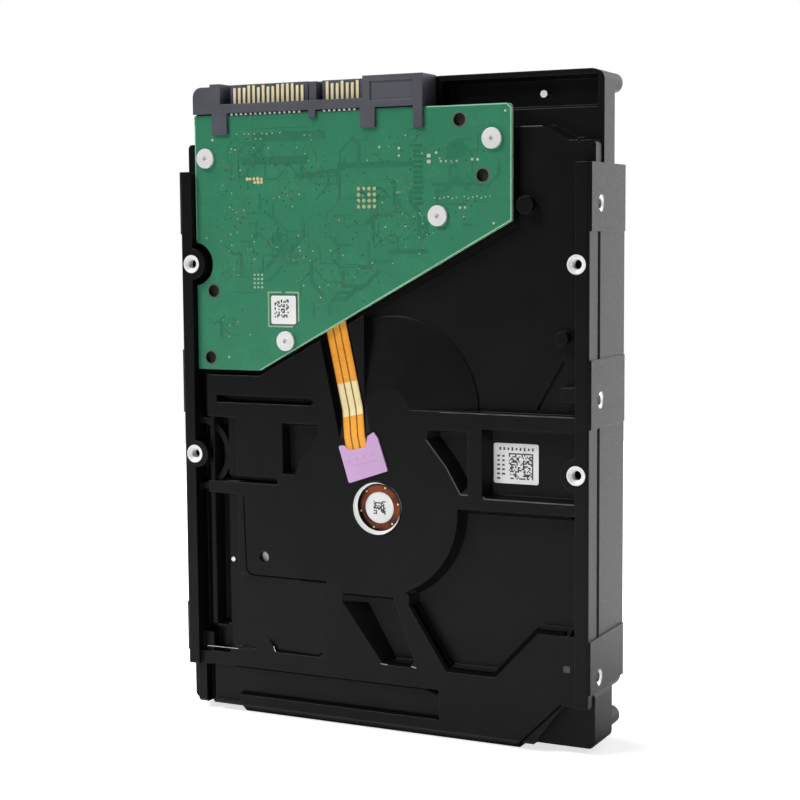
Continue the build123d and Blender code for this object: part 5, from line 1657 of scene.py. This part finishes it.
@dataclass
class CircuitBoard:
    """Circuit board with its plated holes, copper, vias, pads, printed marks and bare edges.

    Attributes:
        ring_radius: Inner radius of the rings round the holes.
        shade_wall: How far the black sheet of painted shade in a hole stands in from the ring.
        shade_depths: Depth of that sheet's back and of its floor.
        shade_depths: Depth of the lining's back and of its floor.
        bracket_sides: How far the printed brackets lie from the label's left, bottom, right and top.
        bracket_gap: Half of the gap in the upper one.
        bracket_ends: How far the right, lower left and lower right ends stop short.
        outline_away: How far the outline lies from the label.
        edge: First point of the bare edge, and its height where the slanted edge ends.
        edge_inset: How far the bare edges' middle lies in from the right and the left edge.
        edge_corner: Size of the upper right corner's bevel.
        edge_end: Where the upper bare edge ends.
        edge_widths: Width of the bare edge, and of the one at the left.
        edge_left: Lower end of the left one, and how far it stops short of the top.
        edge_proud: How far the bare edge stands off the board; so do the others for their marks.
    """

    shop: FinishShop
    ring_radius: float = 1.4
    ring_width: float = 0.34
    ring_steps: int = 32
    shade_wall: Point = (HAIR, 0.05)
    shade_depths: Point = (0.96, 0.92)
    bracket_sides: Rect = (0.75, 0.55, 0.65, 0.75)
    bracket_width: float = 0.3
    bracket_proud: float = 1.2 * SKIN
    bracket_gap: float = 0.6
    bracket_ends: tuple[float, float, float] = (1.4, 0.2, 1.6)
    outline_away: float = 0.1
    outline_width: float = 0.16
    outline_proud: float = 0.8 * SKIN
    edge: tuple[float, float, float] = (-30.2, 81.45, 115.15)
    edge_inset: Point = (0.14, 0.12)
    edge_corner: float = 0.9
    edge_end: float = 12.6
    edge_widths: Point = (0.26, 0.22)
    edge_left: Point = (111.4, 2.0)
    edge_proud: float = 0.5 * SKIN

    def build(self) -> None:
        """Adds everything that lies on the board's visible side."""
        place = BoardPlace()
        self._plated_holes(place)
        BoardCopper(self.shop, place).build()
        BoardVias(self.shop, place).build()
        BoardPads(self.shop, place).build()
        self._printed_marks(place)
        self._bare_edges(place)

    def _plated_holes(self, place: BoardPlace) -> None:
        """Plated rings round the round holes, and black sheets inside them that paint the shade in the
        holes.

        Args:
            place: The board's place.
        """
        rings, dark = Sculpt(), Sculpt()
        inner, outer = self.ring_radius, self.ring_radius + self.ring_width
        outside, inside = (inner - away for away in self.shade_wall)
        back, floor = self.shade_depths
        for x, z in place.holes:
            mouth = Vector((x, place.face, z))
            rings.lathe([(inner, 0.0), (outer, 0.0), (outer, SKIN), (inner, SKIN)], mouth,
                        Vector((0, -1, 0)), steps=self.ring_steps)
            # black sheet inside the hole: painted shade
            dark.lathe([(outside, 0.0), (outside, back), (0.0, back), (0.0, floor), (inside, floor),
                        (inside, 0.0)], mouth, Vector((0, 1, 0)), steps=self.ring_steps)
        rings.finish("board_ring_pads", self.shop.get("ring_tin"), "board_green")
        dark.finish("board_hole_painted_shade", self.shop.get("comb_shadow"), "foam_black")

    def _printed_marks(self, place: BoardPlace) -> None:
        """Pale printed brackets round the label, with no lettering, and the label's dark outline.

        Args:
            place: The board's place.
        """
        low, high = edges_of("board_code_label")
        away_left, away_bottom, away_right, away_top = self.bracket_sides
        left, right = low.x - away_left, high.x + away_right
        bottom, top = low.z - away_bottom, high.z + away_top
        middle = (left + right) / 2
        end_up, end_left, end_right = self.bracket_ends
        brackets = Sculpt()
        for points in (((left, bottom), (left, top), (middle - self.bracket_gap, top)),
                       ((middle + self.bracket_gap, top), (right, top), (right, bottom + end_up)),
                       ((left + end_left, bottom), (right - end_right, bottom))):
            brackets.stroke(points, self.bracket_width, place.face - self.bracket_proud, place.face)
        brackets.finish("board_printed_marks", self.shop.get("print_pale"), "label_white")
        outline = Sculpt()
        away = self.outline_away
        outline.frame((low.x - away, low.z - away, high.x + away, high.z + away), self.outline_width,
                      place.face - self.outline_proud, place.face)
        outline.finish("board_label_outline", self.shop.get("print_dark"), "label_white")

    def _bare_edges(self, place: BoardPlace) -> None:
        """Bare laminate along the milled edges of the board.

        Args:
            place: The board's place.
        """
        start_x, start_z, turn_z = self.edge
        top, right = place.high.z - self.edge_inset[0], place.high.x - self.edge_inset[0]
        left = place.low.x + self.edge_inset[1]
        near, far = place.face - self.edge_proud, place.face
        left_low, left_short = self.edge_left
        sculpt = Sculpt()
        sculpt.stroke([(start_x, start_z), (right, turn_z), (right, top - self.edge_corner),
                       (right - self.edge_corner, top), (self.edge_end, top)], self.edge_widths[0], near,
                      far)
        sculpt.stroke([(left, left_low), (left, top - left_short)], self.edge_widths[1], near, far)
        sculpt.finish("board_bare_edge", self.shop.get("bare_laminate"), "board_green")


@dataclass
class CodeMark:
    """Printed block pattern of a label: plain cells with no code in them.

    Attributes:
        label: CAD node of the label.
        shift: How far the pattern's middle lies from the label's.
        cell: Width of a cell.
        seed: Seed of the random cells.
        border: Whether the right and the upper edge are all printed.
        share: Share of the cells that are printed.
        swell: Width of a printed cell, in cells, so that neighbours join.
        proud: How far the print stands off the label.
    """

    shop: FinishShop
    name: str
    label: str
    shift: Point
    cell: float
    columns: int
    rows: int
    seed: int
    border: bool = False
    share: float = 0.46
    swell: float = 1.02
    proud: float = 0.5 * SKIN

    def build(self) -> None:
        """Prints the pattern on its label."""
        draw = random.Random(self.seed)
        middle, face = middle_of(self.label), edges_of(self.label)[0].y
        x, z = middle.x + self.shift[0], middle.z + self.shift[1]
        side = self.cell * self.swell
        sculpt = Sculpt()
        for i in range(self.columns):
            for j in range(self.rows):
                edge = self.border and (i == self.columns - 1 or j == self.rows - 1)
                if edge or draw.random() < self.share:
                    sculpt.block(x + (i - (self.columns - 1) / 2) * self.cell,
                                 z + (j - (self.rows - 1) / 2) * self.cell, side, side,
                                 face - self.proud, face)
        sculpt.finish(self.name, self.shop.get("print_dark"), "label_white")


@dataclass
class CodeLabels:
    """White labels of the mounting face, with plain marks in place of codes and lettering.

    Attributes:
        seed: Seed of the random bars beside the base label's pattern.
        row_count: Number of bars over the pattern.
        row_start: How far the first one lies from the label's middle.
        columns: Number of bars in each column at the left.
        column_start: How far the first one lies from the label's middle.
        column_pitch: Their pitch across and down.
        bar: Thickness of a bar.
        row_lengths: Least and greatest length of a bar over the pattern.
        column_lengths: The same for a bar at the left.
        proud: How far the bars stand off the label.
    """

    shop: FinishShop
    seed: int = 9
    row_count: int = 9
    row_start: Point = (-3.7, 3.2)
    row_pitch: float = 0.95
    columns: tuple[int, ...] = (6, 5)
    column_start: Point = (-4.1, 1.6)
    column_pitch: Point = (1.15, 0.98)
    bar: float = 0.42
    row_lengths: Point = (0.5, 0.85)
    column_lengths: Point = (0.5, 0.8)
    proud: float = 0.5 * SKIN

    def build(self) -> None:
        """Prints the three labels."""
        CodeMark(self.shop, "board_label_marks", "board_code_label", (-0.5, 0.3), 0.34, 11, 12,
                 seed=3).build()
        CodeMark(self.shop, "base_label_marks", "base_code_label", (1.15, -0.55), 0.3, 19, 19, seed=5,
                 border=True).build()
        self._bars()
        CodeMark(self.shop, "spindle_label_marks", "spindle_code_label", (0.0, 0.0), 0.3, 10, 10,
                 seed=8).build()

    def _bars(self) -> None:
        """Bars over the base label's pattern and at its left."""
        middle, face = middle_of("base_code_label"), edges_of("base_code_label")[0].y
        near = face - self.proud
        draw = random.Random(self.seed)
        rows = Sculpt()
        for i in range(self.row_count):
            rows.block(middle.x + self.row_start[0] + self.row_pitch * i, middle.z + self.row_start[1],
                       self.bar, draw.uniform(*self.row_lengths), near, face)
        for i, count in enumerate(self.columns):
            for j in range(count):
                rows.block(middle.x + self.column_start[0] + self.column_pitch[0] * i,
                           middle.z + self.column_start[1] - self.column_pitch[1] * j,
                           draw.uniform(*self.column_lengths), self.bar, near, face)
        rows.finish("base_label_ticks", self.shop.get("print_dark"), "label_white")


@dataclass
class MotorFlex:
    """Flat flex of the motor, with the pad over its joint.

    Attributes:
        foot: Middle of the flex where it leaves the pad.
        head: Middle of the flex where it goes under the board.
        band: Distance from the foot where the bare band starts and ends.
        dimples: Middles of the dimples in the pad.
        crease: Ends of the crease in the pad.
    """

    shop: FinishShop
    foot: Point = (-4.9, 64.3)
    head: Point = (-11.0, 92.6)
    width: float = 5.3
    conductors: int = 3
    band: Point = (7.6, 15.2)
    dimples: tuple[Point, ...] = ((-5.0, 62.2), (-3.0, 62.7), (-0.9, 63.3), (-6.9, 61.4))
    dimple_radius: float = 0.34
    dimple_proud: float = 1.5 * SKIN
    dimple_sides: int = 12
    crease: tuple[Point, Point] = ((-5.6, 60.6), (0.4, 62.2))
    crease_width: float = 0.16

    def build(self) -> None:
        """Dresses the flex by a pattern that runs along it, and marks the pad."""
        node = bpy.data.objects["motor_flex"]
        node.data.materials.clear()
        node.data.materials.append(self._film())
        face = edges_of("flex_patch")[0].y
        sculpt = Sculpt()
        for x, z in self.dimples:
            sculpt.puck(x, z, self.dimple_radius, face - self.dimple_proud, face,
                        sides=self.dimple_sides)
        sculpt.stroke(self.crease, self.crease_width, face - SKIN, face)
        sculpt.finish("flex_patch_dimples", self.shop.get("patch_lilac"), "patch_lilac")

    def _film(self) -> Material:
        """Orange film with dark lines between its conductors and a bare pale band.

        Returns:
            The material.
        """
        material, shader = self.shop.blank("flex_film")
        tree = material.node_tree
        turned = tree.nodes.new("ShaderNodeMapping")
        turned.vector_type = "TEXTURE"
        lean = math.atan2(self.head[0] - self.foot[0], self.head[1] - self.foot[1])
        feed(tree, turned, {"Vector": object_place(tree), "Rotation": (0.0, lean, 0.0),
                            "Location": (self.foot[0] * MM, 0.0, self.foot[1] * MM)})
        parts = split(tree, turned.outputs["Vector"]).outputs
        across = add_math(tree, "ABSOLUTE", parts["X"])
        half, low, high = self.width / 2, *self.band
        off_line = add_math(tree, "SUBTRACT", across, half / self.conductors * MM)
        fade = (FILM.line_fade[0] * MM, FILM.line_fade[1] * MM)
        lines = spread(tree, add_math(tree, "ABSOLUTE", off_line), fade, (1.0, 0.0))
        edges = spread(tree, across, ((half - FILM.edge_width) * MM, half * MM), (0.0, FILM.edge_share))
        in_band = add_math(tree, "COMPARE", parts["Z"], (low + high) / 2 * MM, (high - low) / 2 * MM)
        grain = self.shop.grained(tree, FILM.grain)
        color = blend(tree, spread(tree, grain.outputs["Broad"], self.shop.PATCHES), FILM.film,
                      FILM.tint)
        for mask, other in ((in_band, FILM.band), (edges, FILM.edge), (lines, FILM.line)):
            color = blend(tree, mask, color, other)
        rough = spread(tree, grain.outputs["Fine"], self.shop.GRAIN, FILM.rough)
        feed(tree, shader, {"Base Color": color, "Roughness": rough})
        self.shop.raise_surface(tree, lines, FILM.relief, shader).invert = True
        return material


@dataclass
class CoverSide:
    """Large label of the cover, of plain bands, bars and rules.

    Attributes:
        seed: Seed of the random bars.
        band_drop: How far below the label's top the middle of the blue band lies.
        band_inset: How much narrower than the label it is.
        margin: Distance of the bars from the label's left edge.
        codes: How far below the top each row of bars starts, its width and its height.
        stripes: Widths of the bars.
        spaces: Widths of the spaces between them.
        rules: How far from the left and below the top the middle of the first rule lies.
        rule_long: Length of the longest rule.
        rule_step: How much shorter each of the next two is.
        table: How far the table's left and right edge lie from the label's right edge, and its lower
            and upper edge from the label's.
        table_lines: Width of its outline and of the lines in it.
        proud: How far the print stands off the label.
    """

    shop: FinishShop
    seed: int = 21
    band_drop: float = 7.5
    band_tall: float = 9.0
    band_inset: float = 5.0
    band_corner: float = 0.8
    margin: float = 5.0
    codes: tuple[tuple[float, float, float], ...] = ((17.0, 34.0, 5.0), (26.0, 26.0, 4.0))
    stripes: tuple[float, ...] = (0.25, 0.25, 0.5, 0.75)
    spaces: tuple[float, ...] = (0.25, 0.5, 0.5)
    rules: Point = (22.0, 35.0)
    rule_count: int = 6
    rule_pitch: float = 2.6
    rule_long: float = 34.0
    rule_step: float = 4.0
    rule_thick: float = 0.5
    table: Rect = (32.0, 6.0, 8.0, 18.0)
    table_rows: int = 5
    table_lines: Point = (0.3, 0.2)
    proud: float = 0.6 * SKIN

    def build(self) -> None:
        """Prints the label of the cover."""
        low, high = edges_of("cover_label")
        near, far = high.y, high.y + self.proud
        band = Sculpt()
        band.block((low.x + high.x) / 2, high.z - self.band_drop, high.x - low.x - self.band_inset,
                   self.band_tall, near, far, corner=self.band_corner)
        band.finish("cover_label_band", self.shop.get("print_blue"), "label_white")
        draw = random.Random(self.seed)
        bars = Sculpt()
        for drop, wide, tall in self.codes:
            x = low.x + self.margin
            while x < low.x + self.margin + wide:
                stripe = draw.choice(self.stripes)
                bars.block(x + stripe / 2, high.z - drop - tall / 2, stripe, tall, near, far)
                x += stripe + draw.choice(self.spaces)
        for i in range(self.rule_count):
            bars.block(low.x + self.rules[0], high.z - self.rules[1] - self.rule_pitch * i,
                       self.rule_long - self.rule_step * (i % 3), self.rule_thick, near, far)
        to_left, to_right, to_bottom, to_top = self.table
        left, right = high.x - to_left, high.x - to_right
        bottom, top = low.z + to_bottom, high.z - to_top
        outline, line = self.table_lines
        bars.frame((left, bottom, right, top), outline, near, far)
        for i in range(1, self.table_rows):
            z = bottom + (top - bottom) * i / self.table_rows
            bars.stroke([(left, z), (right, z)], line, near, far)
        bars.finish("cover_label_bars", self.shop.get("print_dark"), "label_white")


@dataclass
class FlexRibbon:
    """Flat flex between the actuator's comb and its bracket.

    Attributes:
        reach: Its distance from the pivot's axis.
        start: Angle of its end at the bracket, in degrees.
        stop: Angle of its end at the comb.
        held: Stretches at the bracket that were to stay with the base; not used.
        carried: Stretches at the comb that were to go with the actuator; not used.
    """

    shop: FinishShop
    reach: float = 9.9
    start: float = 182.0
    stop: float = 226.0
    steps: int = 24
    thick: float = 0.1
    held: int = 4
    carried: int = 1

    def build(self) -> None:
        """Replaces the rigid loop of flex by a curved ribbon."""
        pivot = middle_of("pivot_shaft")
        low, high = edges_of("flex_loop")
        spots = []
        for step in range(self.steps + 1):
            angle = math.radians(self.start + (self.stop - self.start) * step / self.steps)
            spots.append((pivot.x + self.reach * math.cos(angle),
                          pivot.z + self.reach * math.sin(angle)))
        sculpt = Sculpt()
        rows = [[sculpt.mesh.verts.new((x, y, z)) for x, z in spots] for y in (low.y, high.y)]
        edges = [sculpt.mesh.edges.new(pair) for row in rows for pair in zip(row, row[1:])]
        bmesh.ops.bridge_loops(sculpt.mesh, edges=edges)
        bmesh.ops.solidify(sculpt.mesh, geom=list(sculpt.mesh.faces), thickness=self.thick)
        ribbon = sculpt.cast("flex_loop_ribbon", self.shop.get("flex_plain"), smooth=None)
        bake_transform(ribbon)
        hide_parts("flex_loop")
        LOG.info("piece flex_loop_ribbon: %d faces, blended", len(ribbon.data.polygons))


@dataclass(frozen=True)
class Lamp:
    """One soft square lamp.

    Attributes:
        place: Where it stands, in metres.
        size: Width of the square, in metres.
        power: Power, in watts.
    """

    name: str
    place: tuple[float, float, float]
    size: float
    power: float


@dataclass
class Studio:
    """Pale floor, soft lights and camera.

    Attributes:
        forward: Direction that the camera looks in.
        sensor: Width of the sensor.
        clip: Nearest distance that the camera sees, in metres.
        before: Level of the surroundings on the camera's side.
        behind: Level of the surroundings behind the drive, as its gloss shows them.
        horizon: Y of the directions where the level starts to change and has changed.
        fill: Highest level of the surroundings as light on plain surfaces.
        glow: Light that the floor adds for the camera, so that it closes with the white backdrop.
        rear_glow: The same for reflections of the floor behind the drive.
        rear: Y where that glow starts and where it is full, in metres.
        floor_colors: Colours that the floor drifts between.
        floor_patches: Scale of that drift.
        target: Point that the lamps face, in metres.
    """

    eye: tuple[float, float, float] = (174.92, -352.283, 112.164)
    forward: tuple[float, float, float] = (-0.44292, 0.89148, -0.09532)
    up: tuple[float, float, float] = (-0.03606, 0.08852, 0.99542)
    lens: float = 77.64
    sensor: float = 36.0
    clip: float = 0.01
    before: float = 0.14
    behind: float = 1.0
    horizon: Point = (-0.25, 0.35)
    fill: float = 0.3
    glow: float = 0.7
    rear_glow: float = 1.0
    rear: Point = (0.02, 0.12)
    floor_radius: float = 0.55
    floor_sides: int = 96
    floor_colors: tuple[Color, Color] = ((0.90, 0.90, 0.90), (0.92, 0.92, 0.92))
    floor_patches: float = 40.0
    floor_rough: float = 0.9
    floor_specular: float = 0.1
    target: tuple[float, float, float] = (0.0, 0.0, 0.075)
    lamps: tuple[Lamp, ...] = (
        Lamp("key", (-0.95, -1.0, 1.5), 0.8, 29.0),
        Lamp("top", (-0.6, 0.15, 1.35), 0.8, 18.0),
        Lamp("side", (0.95, 1.6, 0.30), 1.8, 12.0),
    )

    def build(self) -> None:
        """Builds the whole set."""
        self._camera()
        self._world()
        self._floor()
        for lamp in self.lamps:
            self._lamp(lamp)

    def _camera(self) -> None:
        """Puts the camera at the viewing angle."""
        data = bpy.data.cameras.new("camera")
        data.lens = self.lens
        data.sensor_width = self.sensor
        data.clip_start = self.clip
        camera = bpy.data.objects.new("camera", data)
        back = -Vector(self.forward).normalized()
        right = Vector(self.up).cross(back).normalized()
        top = back.cross(right)
        frame = Matrix((right, top, back)).transposed().to_4x4()
        frame.translation = Vector(self.eye) * MM
        camera.matrix_world = frame
        bpy.context.scene.collection.objects.link(camera)
        bpy.context.scene.camera = camera

    def _world(self) -> None:
        """White to the camera, and to the drive bright behind it and dim before it."""
        world = bpy.data.worlds.new("studio")
        world.use_nodes = True
        bpy.context.scene.world = world
        tree = world.node_tree
        towards = add(tree, "TexCoord").outputs["Generated"]
        around = spread(tree, split(tree, towards).outputs["Y"], self.horizon,
                        (self.before, self.behind), smooth=True)
        path = add(tree, "LightPath").outputs
        level = blend(tree, path["Is Glossy Ray"], add_math(tree, "MINIMUM", around, self.fill), around)
        feed(tree, tree.nodes["Background"],
             {"Color": (1, 1, 1, 1), "Strength": blend(tree, path["Is Camera Ray"], level, 1.0)})

    def _floor(self) -> None:
        """Plain pale floor under the drive, which keeps its shadow."""
        mesh = bmesh.new()
        bmesh.ops.create_circle(mesh, cap_ends=True, segments=self.floor_sides, radius=self.floor_radius)
        data = bpy.data.meshes.new("floor")
        mesh.to_mesh(data)
        mesh.free()
        floor = bpy.data.objects.new("floor", data)
        data.materials.append(self._floor_paint())
        bpy.context.scene.collection.objects.link(floor)

    def _floor_paint(self) -> Material:
        """Pale paint that closes with the white backdrop.

        Returns:
            The material.
        """
        material, shader = FinishShop.blank("floor")
        tree = material.node_tree
        place = object_place(tree)
        drift = add(tree, "TexNoise", {"Vector": place, "Scale": self.floor_patches}).outputs["Fac"]
        path = add(tree, "LightPath").outputs
        rear = spread(tree, split(tree, place).outputs["Y"], self.rear, (0.0, self.rear_glow))
        mirrored = add_math(tree, "MULTIPLY", path["Is Glossy Ray"], rear)
        feed(tree, shader, {
            "Base Color": blend(tree, drift, *self.floor_colors), "Roughness": self.floor_rough,
            "Specular IOR Level": self.floor_specular, "Emission Color": (1, 1, 1, 1),
            "Emission Strength": add_math(tree, "MULTIPLY_ADD", path["Is Camera Ray"], self.glow,
                                          mirrored)})
        return material

    def _lamp(self, lamp: Lamp) -> None:
        """Adds a lamp that faces the drive.

        Args:
            lamp: The lamp.
        """
        data = bpy.data.lights.new(lamp.name, "AREA")
        data.size = lamp.size
        data.energy = lamp.power
        light = bpy.data.objects.new(lamp.name, data)
        towards = Vector(self.target) - Vector(lamp.place)
        turn = towards.to_track_quat("-Z", "Y").to_matrix().to_4x4()
        light.matrix_world = Matrix.Translation(lamp.place) @ turn
        bpy.context.scene.collection.objects.link(light)


# ---------------------------------------------------------------------- whole drive
@dataclass
class PlainNodes:
    """The CAD nodes, dressed by the slots of the record.

    Attributes:
        frame: The loaded frame.
        own_axis: Width under which a turned node's marks run round its own middle.
    """

    shop: FinishShop
    frame: dict
    own_axis: float = 30.0

    def build(self) -> None:
        """Gives every CAD node the material of its slot."""
        for entry in self.frame["record"]["subparts"]:
            data = self.frame["nodes"][entry["node"]].data
            material = self._material(entry["node"], entry["material_slot"])
            data.materials.clear()
            data.materials.append(material)
            LOG.info("node %s wears %s", entry["node"], material.name)

    def _material(self, node: str, slot: str) -> Material:
        """Picks the material of a node.

        Args:
            node: Name of the node.
            slot: Its slot.

        Returns:
            The material.
        """
        if slot == "board_green":
            return self.shop.board()
        if slot == "flex_orange":
            return self.shop.get("flex_plain")
        low, high = edges_of(node)
        if FINISHES[slot].pattern is Pattern.TURNED and high.x - low.x < self.own_axis:
            middle = middle_of(node)
            return self.shop.get(slot, (middle.x, middle.z))
        return self.shop.get(slot)


def main() -> None:
    """Builds the drive, its looks and the studio."""
    logging.basicConfig(level=logging.INFO, format="%(name)s: %(message)s")
    for stale in list(bpy.data.objects):
        bpy.data.objects.remove(stale)
    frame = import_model()
    bpy.context.scene.view_settings.view_transform = "Standard"
    Studio().build()
    shop = FinishShop()
    PlainNodes(shop, frame).build()
    CastBase(shop, frame["record"]["mounts"]).build()
    StepLines(shop).build()
    MotorMouth(shop).build()
    CircuitBoard(shop).build()
    ContactRow(shop, "power_contacts", 15, first_mate=(3, 4, 6, 9, 10, 11, 12)).build()
    ContactRow(shop, "signal_contacts", 7, first_mate=(0, 3, 6)).build()
    MotorFlex(shop).build()
    CodeLabels(shop).build()
    CoverSide(shop).build()
    FlexRibbon(shop).build()


if __name__ == "__main__":
    main()
